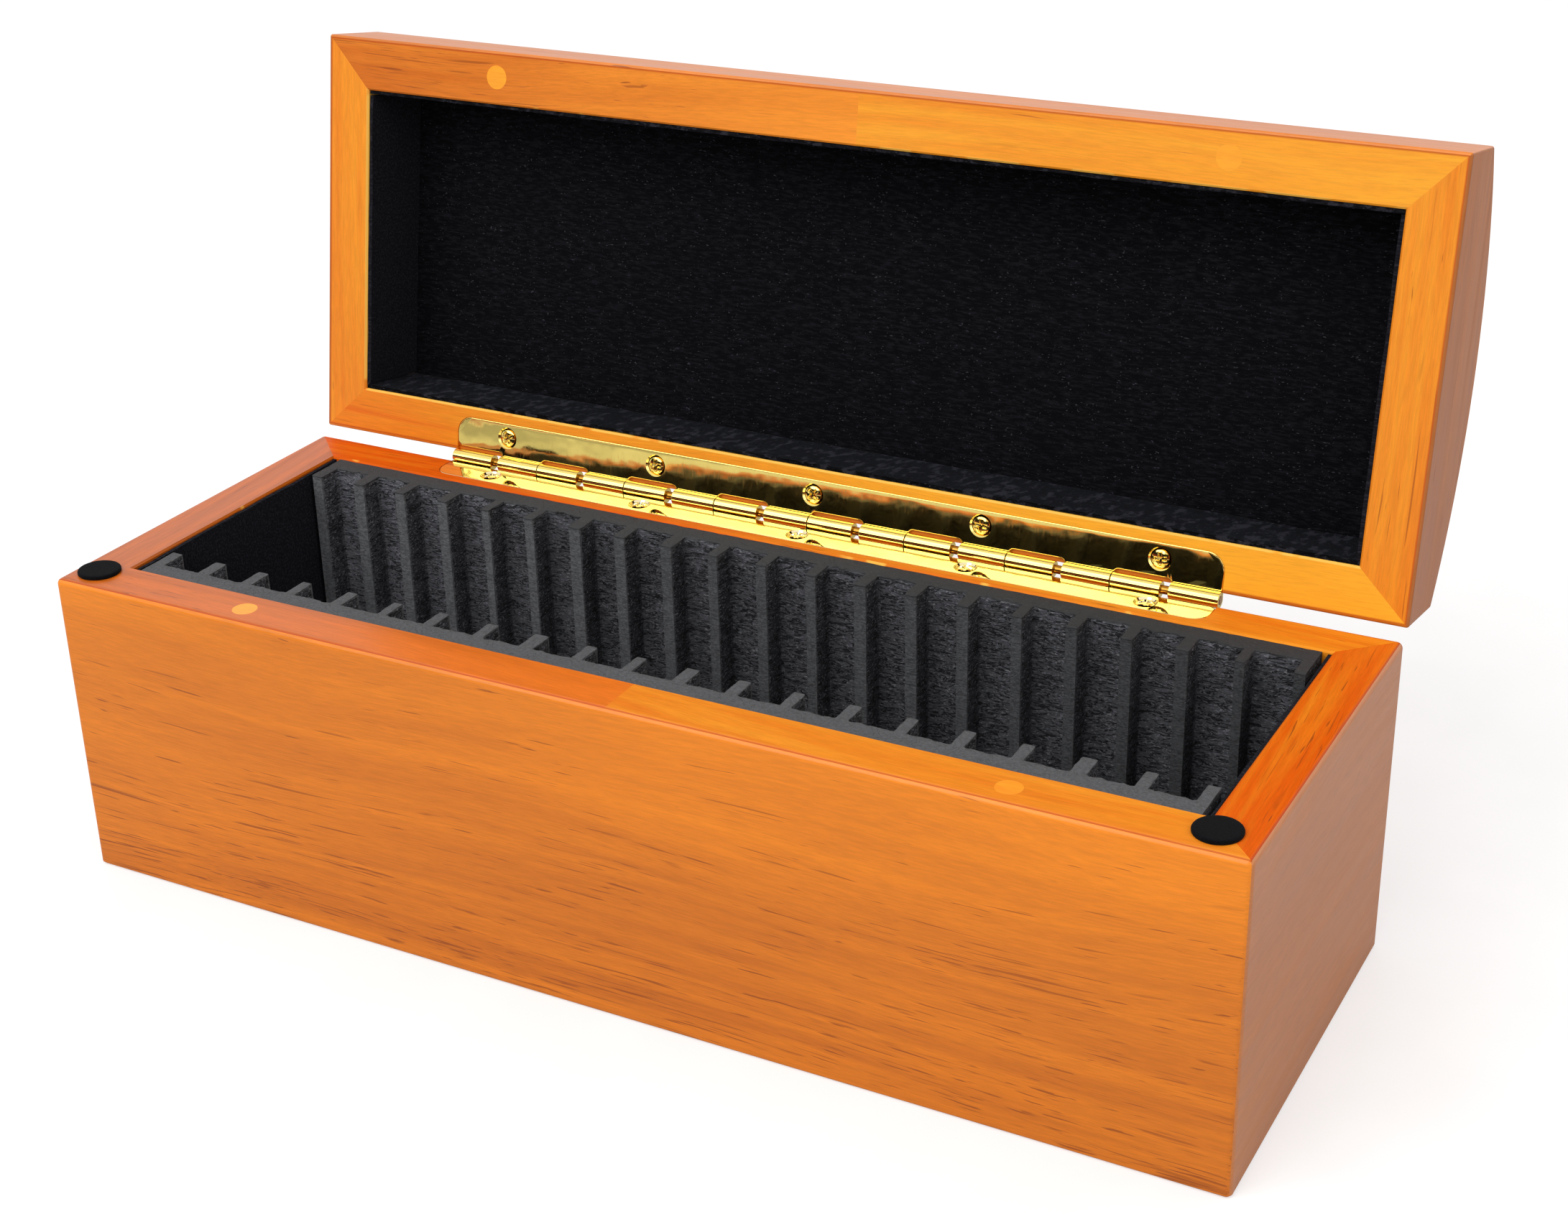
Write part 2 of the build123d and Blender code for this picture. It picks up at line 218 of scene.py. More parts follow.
def finish_piece(name, bm, body, material, replaced=(), sharp_angle=40.0):
    """Turns a finished mesh into a piece of the box that rides on a body and stands for CAD nodes."""
    mesh = bpy.data.meshes.new(name)
    bmesh.ops.recalc_face_normals(bm, faces=bm.faces)
    bm.to_mesh(mesh)
    bm.free()
    mesh.shade_smooth()
    mesh.set_sharp_from_angle(angle=math.radians(sharp_angle))
    mesh.materials.append(material)
    piece = bpy.data.objects.new(name, mesh)
    bpy.context.scene.collection.objects.link(piece)
    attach(piece, body)
    if replaced:
        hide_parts(*replaced)
    return piece


def node_box(node, body):
    """A CAD node's lowest and highest corners in its body's own frame."""
    back = PLACES[body].inverted()
    points = [back @ vertex.co for vertex in frame["nodes"][node].data.vertices]
    low = Vector([min(point[i] for point in points) for i in range(3)])
    high = Vector([max(point[i] for point in points) for i in range(3)])
    return low, high


def steps(start, end, size):
    """Evenly spaced values from start to end, about `size` apart."""
    count = max(1, round((end - start) / size))
    return [start + (end - start) * i / count for i in range(count + 1)]


def ripple(point, scale, octaves=1):
    """Smooth noise of about -1 to 1 whose waves are `scale` metres long, one value per axis."""
    scaled = Vector([point[i] / scale[i] for i in range(3)])
    return noise.fractal(scaled, 0.7, 2.0, octaves, noise_basis="PERLIN_ORIGINAL")


def rounded_outline(corners, arc_step):
    """A closed outline through (x, y, radius) corners, each rounded by its radius."""
    points = []
    for i, (x, y, radius) in enumerate(corners):
        corner = Vector((x, y))
        if radius <= 0:
            points.append(corner)
            continue
        before = (Vector(corners[i - 1][:2]) - corner).normalized()
        after = (Vector(corners[(i + 1) % len(corners)][:2]) - corner).normalized()
        half = before.angle(after) / 2
        reach = radius / math.tan(half)
        centre = corner + (before + after).normalized() * (radius / math.sin(half))
        start = corner + before * reach - centre
        turn = (corner + after * reach - centre).angle_signed(start)
        count = max(3, math.ceil(abs(turn) * radius / arc_step))
        for k in range(count + 1):
            arm = start.copy()
            arm.rotate(Matrix.Rotation(turn * k / count, 2))
            points.append(centre + arm)
    return points


def inset_outline(points, distance):
    """The outline moved inwards by `distance`. It runs anticlockwise."""
    moved = []
    for i, point in enumerate(points):
        before = (point - points[i - 1]).normalized()
        after = (points[(i + 1) % len(points)] - point).normalized()
        inward = Vector((-before.y - after.y, before.x + after.x)).normalized()
        lean = max(0.4, inward.dot(Vector((-after.y, after.x))))
        moved.append(point + inward * distance / lean)
    return moved


def ring_of(bm, points, height, place):
    """Vertices over a flat outline at one height."""
    return [bm.verts.new(place @ Vector((point[0], point[1], height))) for point in points]


def join_rings(bm, first, second):
    """A band of faces between two rings of as many vertices."""
    count = len(first)
    for i in range(count):
        k = (i + 1) % count
        bm.faces.new((first[i], first[k], second[k], second[i]))


def fill_between(bm, rings):
    """Fills the flat area inside the first ring and outside the others."""
    edges = []
    for ring in rings:
        for i, vertex in enumerate(ring):
            edges.append(bm.edges.get((ring[i - 1], vertex)) or bm.edges.new((ring[i - 1], vertex)))
    bmesh.ops.triangle_fill(bm, use_beauty=True, use_dissolve=False, edges=edges)


def circle_points(centre, radius, count, turn=0.0):
    """Points of a circle, anticlockwise."""
    return [
        Vector((centre[0] + radius * math.cos(turn + math.tau * i / count),
                centre[1] + radius * math.sin(turn + math.tau * i / count)))
        for i in range(count)
    ]


# Materials


class NodeTree:
    """A node tree that is being put together."""

    def __init__(self, tree):
        self.tree = tree

    def add(self, kind, inputs=None, output=0, **settings):
        """Adds a node, sets it up, and returns one of its outputs."""
        node = self.tree.nodes.new(kind)
        for name, value in settings.items():
            setattr(node, name, value)
        for key, value in (inputs or {}).items():
            self.connect(value, node.inputs[key])
        return node.outputs[output] if node.outputs else node

    def connect(self, value, socket):
        """Links an output to a socket, or sets the socket to a plain value."""
        if isinstance(value, bpy.types.NodeSocket):
            self.tree.links.new(value, socket)
        elif isinstance(value, (tuple, list)) and socket.type == "RGBA":
            socket.default_value = (*value[:3], 1.0)
        else:
            socket.default_value = value

    def math(self, operation, first, second=0.0, clamp=False):
        """A Math node."""
        return self.add("ShaderNodeMath", {0: first, 1: second}, operation=operation, use_clamp=clamp)

    def product(self, first, second):
        """One value times another."""
        return self.math("MULTIPLY", first, second)

    def less(self, first, second):
        """The first value less the second."""
        return self.math("SUBTRACT", first, second)

    def larger(self, first, second):
        """The larger of two values."""
        return self.math("MAXIMUM", first, second)

    def distance(self, value, middle=0.0):
        """How far a value is from a middle one."""
        return self.math("ABSOLUTE", self.less(value, middle))

    def axes(self, vector):
        """The x, y and z of a vector."""
        return tuple(self.add("ShaderNodeSeparateXYZ", {0: vector}).node.outputs)

    def dim(self, colour, factor):
        """A colour made lighter or darker by a factor."""
        return self.add("ShaderNodeVectorMath", {0: colour, "Scale": factor}, operation="SCALE")

    def mix(self, factor, first, second, blend_type="MIX"):
        """A colour Mix node."""
        node = self.tree.nodes.new("ShaderNodeMix")
        node.data_type = "RGBA"
        node.blend_type = blend_type
        self.connect(factor, node.inputs[0])
        self.connect(first, node.inputs[6])
        self.connect(second, node.inputs[7])
        return node.outputs[2]

    def ramp(self, value, low, high, start=0.0, end=1.0):
        """Maps a value from low..high to start..end, smoothly and clamped."""
        node = self.tree.nodes.new("ShaderNodeMapRange")
        node.interpolation_type = "SMOOTHSTEP"
        ends = {"Value": value, "From Min": low, "From Max": high, "To Min": start, "To Max": end}
        for name, part in ends.items():
            self.connect(part, node.inputs[name])
        return node.outputs[0]

    def noise(self, place, waves, detail=2.0, roughness=0.5, distortion=0.0, shift=(0.0, 0.0, 0.0), output=0):
        """Noise with `waves` waves a metre, one number or one per axis: a value, or a colour in output 1."""
        waves = waves if isinstance(waves, tuple) else (waves,) * 3
        moved = self.add("ShaderNodeMapping", {"Vector": place, "Location": shift, "Scale": waves})
        look = {"Scale": 1.0, "Detail": detail, "Roughness": roughness, "Distortion": distortion}
        return self.add("ShaderNodeTexNoise", {"Vector": moved, **look}, output)

    def sum_of(self, start, *parts):
        """A starting value plus the parts, each a (value, factor) pair."""
        for value, factor in parts:
            start = self.add("ShaderNodeMath", {0: value, 1: factor, 2: start}, operation="MULTIPLY_ADD")
        return start


class Finish(NodeTree):
    """A material that is being put together."""

    def __init__(self, name):
        self.material = bpy.data.materials.new(name)
        self.material.use_nodes = True
        super().__init__(self.material.node_tree)
        self.shader = self.tree.nodes["Principled BSDF"]

    def shade(self, **values):
        """Links or sets inputs of the shader, named with underscores."""
        for name, value in values.items():
            self.connect(value, self.shader.inputs[name.replace("_", " ")])

    def own_place(self, body):
        """Coordinates in metres that are fixed to a body: the shut box's own frame."""
        place = self.add("ShaderNodeTexCoord", output=3)
        if body == "box":
            return place
        offset = HINGE_AXIS - Matrix.Rotation(-SWING, 3, "X") @ HINGE_AXIS
        return self.add(
            "ShaderNodeMapping",
            {"Vector": place, "Location": tuple(offset), "Rotation": (-SWING, 0.0, 0.0)},
            vector_type="TEXTURE",
        )

    def bump(self, height, distance, strength=1.0):
        """A Bump node's normal."""
        return self.add("ShaderNodeBump", {"Height": height, "Distance": distance, "Strength": strength})


def along(direction, lengthwise, crosswise):
    """Waves a metre for a pattern that is stretched along one axis."""
    return tuple(lengthwise if axis == direction else crosswise for axis in "xyz")


def times(colour, factor):
    """A plain colour with each of its parts times a factor."""
    return tuple(factor * part for part in colour)


def stained_wood(finish, place, grain, colours, tone, pores, gloss, shift):
    """Stained wood under satin lacquer: swaying streaks, and more pores where the tone is darker."""
    dark, light, pore = colours
    sway = finish.noise(place, along(grain, 6.0, 14.0), 1.0, 0.4, 0.0, shift, output=1)
    swayed = finish.add(
        "ShaderNodeVectorMath", {0: sway, 1: along(grain, 0.0, 0.016), 2: place}, operation="MULTIPLY_ADD"
    )

    def grained(lengthwise, crosswise, detail, roughness, distortion=0.0):
        """Noise along the grain, from its waves a metre both ways."""
        return finish.noise(swayed, along(grain, lengthwise, crosswise), detail, roughness, distortion, shift)

    cloud = grained(6.0, 22.0, 2.0, 0.5, 0.3)
    bands = grained(7.0, 110.0, 3.0, 0.6, 0.8)
    streaks = grained(26.0, 520.0, 4.0, 0.65, 0.4)
    fibres = grained(170.0, 2800.0, 3.0, 0.65)
    patches = grained(14.0, 90.0, 2.0, 0.6, 0.6)
    figure = finish.less(grained(4.0, 330.0, 1.0, 0.5, 0.3), 0.5)
    figure = finish.product(figure, finish.less(1.0, tone))
    level = finish.sum_of(tone, (cloud, 0.8), (bands, 0.42), (streaks, 0.36), (figure, 1.2))
    colour = finish.mix(finish.math("SUBTRACT", level, 0.79, clamp=True), dark, light)
    fibre_shade = finish.ramp(fibres, 0.3, 0.7, 0.92, 1.07)
    shade = finish.add("ShaderNodeCombineXYZ", {0: fibre_shade, 1: fibre_shade, 2: fibre_shade})
    colour = finish.mix(1.0, colour, shade, "MULTIPLY")
    crowded = finish.sum_of(0.725 - 0.10 * pores, (patches, -0.13), (tone, 0.18))
    broad_depth = finish.ramp(finish.axes(swayed)[0], -0.04, 0.10, 0.0, 0.45)
    # Waves a metre along and across the grain, softness and depth of broad, short and long dashes
    dashes = (
        (46.0, 560.0, 0.15, broad_depth),
        (55.0, 1900.0, 0.06, 0.72),
        (24.0, 1500.0, 0.07, 0.55),
    )
    marks = 0.0
    for lengthwise, crosswise, softness, depth in dashes:
        specks = grained(lengthwise, crosswise, 2.0, 0.5, 0.4)
        mask = finish.ramp(specks, crowded, finish.math("ADD", crowded, softness), 0.0, depth)
        marks = finish.larger(marks, mask)
    relief = finish.less(finish.product(fibres, 0.3), marks)
    finish.shade(
        Roughness=finish.ramp(bands, 0.3, 0.7, 0.32, 0.40),
        Specular_IOR_Level=gloss,
        Coat_Weight=0.4 * gloss,
        Coat_Roughness=0.16,
        Normal=finish.bump(relief, 0.00005, 0.5),
    )
    return finish.mix(marks, colour, pore)


def edge_marks(finish, place, colour, wood, wear_and_highlight):
    """The stain line where a board meets its veneer, and the pale edge along the opening: worn wood with a
    painted highlight.
    """
    x, y = finish.axes(place)[:2]
    board = node_box("rear_wall", "box")[1]
    low, high = node_box("floor_lining", "box")
    side_x = finish.distance(x)
    side_y = finish.distance(y, (low.y + high.y) / 2)
    over_x = finish.less(side_x, board.x)
    over_y = finish.less(finish.distance(y), board.y)
    stained = finish.ramp(finish.larger(over_x, over_y), -0.55 * MM, -0.05 * MM, 0.0, 0.8)
    colour = finish.mix(stained, colour, tuple(wood.stain))
    out_x = finish.less(side_x, high.x)
    out_y = finish.less(side_y, (high.y - low.y) / 2)
    # The pale edge along the opening: worn wood and a painted highlight where the chamfer catches the light
    edge = finish.ramp(finish.larger(out_x, out_y), 0.58 * MM, 0.36 * MM)
    spots = finish.noise(place, 120.0, 2.0)
    patchy = finish.ramp(spots, 0.72 - 0.4 * wear_and_highlight, 0.80 - 0.4 * wear_and_highlight, 0.0, 0.85)
    return finish.mix(finish.product(edge, patchy), colour, tuple(wood.arris_and_highlight))


def drifting(finish, place, start, per_metre):
    """A tone that changes evenly over the wood."""
    drifts = zip(finish.axes(place), per_metre)
    return finish.sum_of(start, *((axis, slope) for axis, slope in drifts if slope))


# Operators


class WoodOperator(bpy.types.Operator):
    """Stains the boards, veneers and panels"""

    bl_idname = "slab_box.wood"
    bl_label = "Wood"

    # Node, grain, colours, tone at the origin, its change per metre, pores, gloss, and how much the inner
    # edge shows wear and painted highlight
    PIECES = (
        ("front_wall_left_board", "x", "brown", 0.76, (5.6, 0.0, 0.0), 0.1, 0.30, 0.0),
        ("front_wall_right_board", "x", "rim", 0.52, (0.0, 0.0, 0.0), 0.2, 0.24, 0.0),
        ("rear_wall", "x", "rim", 0.24, (2.1, 0.0, 0.0), 0.3, 0.04, 0.2),
        ("left_end_wall", "y", "brown", 0.08, (0.0, 0.0, 0.0), 0.1, 0.38, 0.0),
        ("right_end_wall", "y", "rim", 0.04, (0.0, 2.4, 0.0), 0.0, 0.10, 0.0),
        # The front and rear veneers lighten upwards: painted shade, darker towards the bottom
        ("front_veneer", "x", "face", 0.30, (0.0, 0.0, 7.0), 1.0, 0.34, 0.0),
        ("rear_veneer", "x", "face", 0.30, (-0.4, 0.0, 5.5), 1.0, 0.34, 0.0),
        ("left_end_veneer", "y", "end", 0.66, (0.0, 0.0, 0.0), 0.0, 0.60, 0.0),
        ("right_end_veneer", "y", "end", 0.66, (0.0, 0.0, 0.0), 0.0, 0.60, 0.0),
        ("base_panel", "x", "panel", 0.5, (0.0, 0.0, 0.0), 0.3, 0.3, 0.0),
        ("lid_front_rail_left_board", "x", "tan", 0.78, (5.0, 0.0, 0.0), 0.6, 0.20, 0.1),
        ("lid_front_rail_right_board", "x", "rim", 0.60, (0.0, 0.0, 0.0), 0.4, 0.28, 0.6),
        ("lid_rear_rail", "x", "rim", 0.76, (3.0, 0.0, 0.0), 0.5, 0.20, 1.0),
        ("lid_left_rail", "y", "rim", 0.56, (0.0, 0.0, 0.0), 0.2, 0.26, 1.0),
        ("lid_right_rail", "y", "rim", 0.50, (0.0, 0.0, 0.0), 0.6, 0.26, 0.0),
        ("lid_front_veneer", "x", "face", 0.55, (0.4, 0.0, 0.0), 0.8, 0.42, 0.0),
        ("lid_rear_veneer", "x", "face", 0.55, (-0.4, 0.0, 0.0), 0.8, 0.42, 0.0),
        ("lid_left_veneer", "y", "end", 0.2, (0.0, 0.0, 0.0), 0.0, 0.22, 0.0),
        ("lid_right_veneer", "y", "end", 0.1, (0.0, 0.0, 0.0), 0.0, 0.19, 0.0),
        ("lid_top_veneer", "x", "face", 0.55, (0.4, 0.0, 0.0), 0.8, 0.36, 0.0),
        ("lid_top_panel", "x", "panel", 0.5, (0.0, 0.0, 0.0), 0.3, 0.3, 0.0),
    )

    def execute(self, context):
        wood = context.scene.slab_box.wood
        pore = tuple(wood.pore)
        panel = tuple(wood.panel)
        colours = {
            kind: (tuple(getattr(wood, kind + "_dark")), tuple(getattr(wood, kind + "_light")), pore)
            for kind in ("rim", "brown", "tan", "face", "end")
        }
        colours["panel"] = (times(panel, 0.85), panel, pore)
        for number, (node, grain, kind, start, per_metre, pores, gloss, wear_and_highlight) in enumerate(self.PIECES):
            finish = Finish(node + "_wood")
            place = finish.own_place("lid" if node.startswith("lid") else "box")
            tone = drifting(finish, place, start, per_metre)
            shift = (number * 1.7, number * 0.9, number * 2.3)
            colour = stained_wood(finish, place, grain, colours[kind], tone, pores, gloss, shift)
            if kind in ("rim", "brown", "tan"):
                colour = edge_marks(finish, place, colour, wood, wear_and_highlight)
            finish.shade(Base_Color=colour)
            paint_node(node, finish.material)
        return {"FINISHED"}


def paint_node(node, material):
    """Puts a material on a CAD node that keeps its own shape."""
    mesh = frame["nodes"][node].data
    mesh.materials.clear()
    mesh.materials.append(material)
    mesh.shade_smooth()
    mesh.set_sharp_from_angle(angle=math.radians(30))


class MagnetOperator(bpy.types.Operator):
    """Finishes the catch magnets and the wood plugs over them"""

    bl_idname = "slab_box.magnets"
    bl_label = "Catch magnets and plugs"

    # Body, its magnet, and the plugs' tone at the middle of the box and its change per metre
    PLUGS = (("box", "box_magnet", 0.32, -1.2), ("lid", "lid_magnet", 0.50, 2.0))

    def execute(self, context):
        wood = context.scene.slab_box.wood
        colours = (tuple(wood.plug_dark), tuple(wood.plug_light), tuple(wood.pore))
        for body, magnet, start, slope in self.PLUGS:
            finish = Finish(magnet + "_plug_wood")
            place = finish.own_place(body)
            tone = drifting(finish, place, start, (slope, 0.0, 0.0))
            colour = stained_wood(finish, place, "x", colours, tone, 0.0, 0.3, (5, 5, 5))
            finish.shade(Base_Color=colour)
            paint_node(magnet + "_plugs", finish.material)
            nickel = Finish(magnet + "_nickel")
            marks = nickel.noise(nickel.own_place(body), 900.0, 3.0)
            nickel.shade(
                Base_Color=(0.62, 0.60, 0.56),
                Metallic=1.0,
                Roughness=nickel.ramp(marks, 0.3, 0.7, 0.18, 0.35),
            )
            paint_node(magnet + "s", nickel.material)
        return {"FINISHED"}


def velvet_finish(name, body, colour, painted_sheen_tufting):
    """Black velvet on card: a deep pile with short brush strokes, tufts lightened as painted sheen, and stray
    light fibres.
    """
    finish = Finish(name)
    place = finish.own_place(body)
    strokes = finish.noise(place, (420.0, 1900.0, 1900.0), 3.0, 0.65)
    tufts_with_painted_sheen = finish.noise(place, (480.0, 900.0, 240.0), 2.0, 0.6)
    stray = finish.noise(place, (1700.0, 3000.0, 3000.0), 0.0)
    pile = finish.noise(place, 2600.0, 2.0, 0.7)
    tone = finish.mix(finish.ramp(strokes, 0.42, 0.72), colour, times(colour, 3.2))
    # Tufts of the pile lightened in the colour: painted sheen
    tone = finish.mix(finish.ramp(tufts_with_painted_sheen, 0.50, 0.66, 0.0, painted_sheen_tufting), tone, times(colour, 12.0))
    tone = finish.mix(finish.ramp(stray, 0.76, 0.82, 0.0, 0.8), tone, STRAY_FIBRE)
    finish.shade(
        Base_Color=tone,
        Roughness=0.95,
        Specular_IOR_Level=0.05,
        Sheen_Weight=0.035,
        Sheen_Roughness=0.4,
        Sheen_Tint=(0.6, 0.65, 0.8),
        Normal=finish.bump(pile, 0.00025, 0.8),
    )
    return finish.material


def soft_slab(name, body, low, high, thin, cell, wave, material, node, seed):
    """A thin soft slab in the space of its CAD node: both faces wave a little and its edges are uneven."""
    place = PLACES[body]
    wide = [axis for axis in range(3) if axis != thin]
    lines = [steps(low[axis], high[axis], cell) for axis in wide]
    last = [len(line) - 1 for line in lines]
    trim = 0.08 * MM
    bm = bmesh.new()
    layers = []
    for face, inward in ((low[thin], 1), (high[thin], -1)):
        layer = {}
        for i, first in enumerate(lines[0]):
            for k, second in enumerate(lines[1]):
                point = Vector((0, 0, 0))
                point[wide[0]] = first
                point[wide[1]] = second
                point[thin] = face
                where = point + Vector((seed, seed * 0.7, seed * 1.3))
                point[thin] += inward * wave * abs(ripple(where, (0.03, 0.03, 0.03), 2))
                uneven = 0.9 * wave * abs(ripple(where, (0.012, 0.012, 0.012), 2))
                for axis, index, end in ((wide[0], i, last[0]), (wide[1], k, last[1])):
                    if index == 0:
                        point[axis] += trim + uneven
                    elif index == end:
                        point[axis] -= trim + uneven
                layer[i, k] = bm.verts.new(place @ point)
        layers.append(layer)
    for layer in layers:
        for i in range(last[0]):
            for k in range(last[1]):
                bm.faces.new((layer[i, k], layer[i + 1, k], layer[i + 1, k + 1], layer[i, k + 1]))
    border = (
        [(i, 0) for i in range(last[0])]
        + [(last[0], k) for k in range(last[1])]
        + [(i, last[1]) for i in range(last[0], 0, -1)]
        + [(0, k) for k in range(last[1], 0, -1)]
    )
    join_rings(bm, [layers[0][key] for key in border], [layers[1][key] for key in border])
    return finish_piece(name, bm, body, material, [node])


class VelvetOperator(bpy.types.Operator):
    """Lays the velvet linings in the body and the lid"""

    bl_idname = "slab_box.velvet"
    bl_label = "Velvet linings"

    # Node, body, thin axis, how it is held, the piece that carries it,
    # a factor of painted light that lightens or darkens it for how it faces the lamps, and how much its tufts
    # show as painted sheen
    LININGS = (
        ("floor_lining", "box", 2, "laid", "base_panel", 1.0, 0.0),
        ("left_end_lining", "box", 0, "stretched", "left_end_wall", 3.4, 0.0),
        ("right_end_lining", "box", 0, "stretched", "right_end_wall", 3.4, 0.0),
        ("lid_top_lining", "lid", 2, "stretched", "lid_top_panel", 1.2, 0.0),
        ("lid_front_lining", "lid", 1, "stretched", "lid_front_rail_left_board", 1.6, 0.4),
        ("lid_rear_lining", "lid", 1, "stretched", "lid_rear_rail", 0.8, 1.0),
        ("lid_left_lining", "lid", 0, "stretched", "lid_left_rail", 3.1, 0.0),
        ("lid_right_lining", "lid", 0, "stretched", "lid_right_rail", 3.1, 0.0),
    )

    def execute(self, context):
        velvet = context.scene.slab_box.soft.velvet
        cell = 0.0025
        wave = 0.00035
        for number, (node, body, thin, held, carrier, painted_light_factor, painted_sheen_tufting) in enumerate(self.LININGS):
            low, high = node_box(node, body)
            # Each lining's velvet colour is scaled up or down: painted light and shade for how it faces the
            # lamps
            pile = velvet_finish(node + "_pile", body, times(velvet, painted_light_factor), painted_sheen_tufting)
            seed = number * 0.31
            piece = soft_slab(
                node + "_velvet", body, low, high, thin, cell, wave, pile, node, seed
            )
        return {"FINISHED"}


class FeltOperator(bpy.types.Operator):
    """Glues the felt pads on the rim's corners and the felt under the base"""

    bl_idname = "slab_box.felt"
    bl_label = "Felt pads and base felt"

    # Shares of a pad's radius and height, from its foot over its soft edge to near its middle
    PROFILE = (
        (0.97, 0.0), (1.0, 0.2), (1.0, 0.62), (0.975, 0.86), (0.93, 0.96), (0.85, 1.0),
        (0.7, 1.0), (0.55, 1.0), (0.4, 1.0), (0.25, 1.0), (0.1, 1.0),
    )

    def execute(self, context):
        colour = tuple(context.scene.slab_box.soft.felt)
        finish = Finish("felt")
        place = finish.own_place("box")
        fuzz = finish.noise(place, 2200.0, 4.0, 0.7)
        mat_marks = finish.noise(place, 350.0, 2.0)
        tone = finish.mix(finish.ramp(fuzz, 0.35, 0.75), colour, times(colour, 3.0))
        tone = finish.mix(finish.ramp(mat_marks, 0.45, 0.75, 0.0, 0.35), tone, times(colour, 2.2))
        finish.shade(
            Base_Color=tone,
            Roughness=0.95,
            Specular_IOR_Level=0.1,
            Sheen_Weight=0.02,
            Sheen_Roughness=0.5,
            Normal=finish.bump(fuzz, 0.0002, 0.9),
        )
        self.rim_pads(finish.material)
        low, high = node_box("base_felt", "box")
        cell = 0.003
        wave = 0.00012
        felt = finish.material
        base = soft_slab(
            "base_felt_sheet", "box", low, high, 2, cell, wave, felt, "base_felt", 3.0
        )
        return {"FINISHED"}

    def rim_pads(self, material):
        """Two felt discs with soft, slightly uneven edges."""
        low, high = node_box("corner_pads", "box")
        radius = (high.y - low.y) / 2
        height = high.z - low.z
        bm = bmesh.new()
        for side, middle in ((-1, low.x + radius), (1, high.x - radius)):
            centre = Vector((middle, (low.y + high.y) / 2, low.z))
            rings = []
            for share, rise in self.PROFILE:
                ring = []
                for point in circle_points((0, 0), 1.0, 72):
                    where = Vector((point.x * 3 + side * 7, point.y * 3, rise * 2))
                    uneven = 1.0 - 0.012 * abs(noise.noise(where * 1.7)) - 0.006 * abs(noise.noise(where * 9))
                    sag = 0.04 * MM * noise.noise(Vector((point.x * share * 9, point.y * share * 9, side)))
                    reach = radius * share * uneven
                    offset = Vector((point.x * reach, point.y * reach, rise * height - abs(sag)))
                    ring.append(bm.verts.new(centre + offset))
                rings.append(ring)
            for first, second in zip(rings, rings[1:]):
                join_rings(bm, first, second)
            bm.faces.new(rings[-1])
            bm.faces.new(list(reversed(rings[0])))
        pads = finish_piece("felt_corner_pads", bm, "box", material, ["corner_pads"], 60.0)


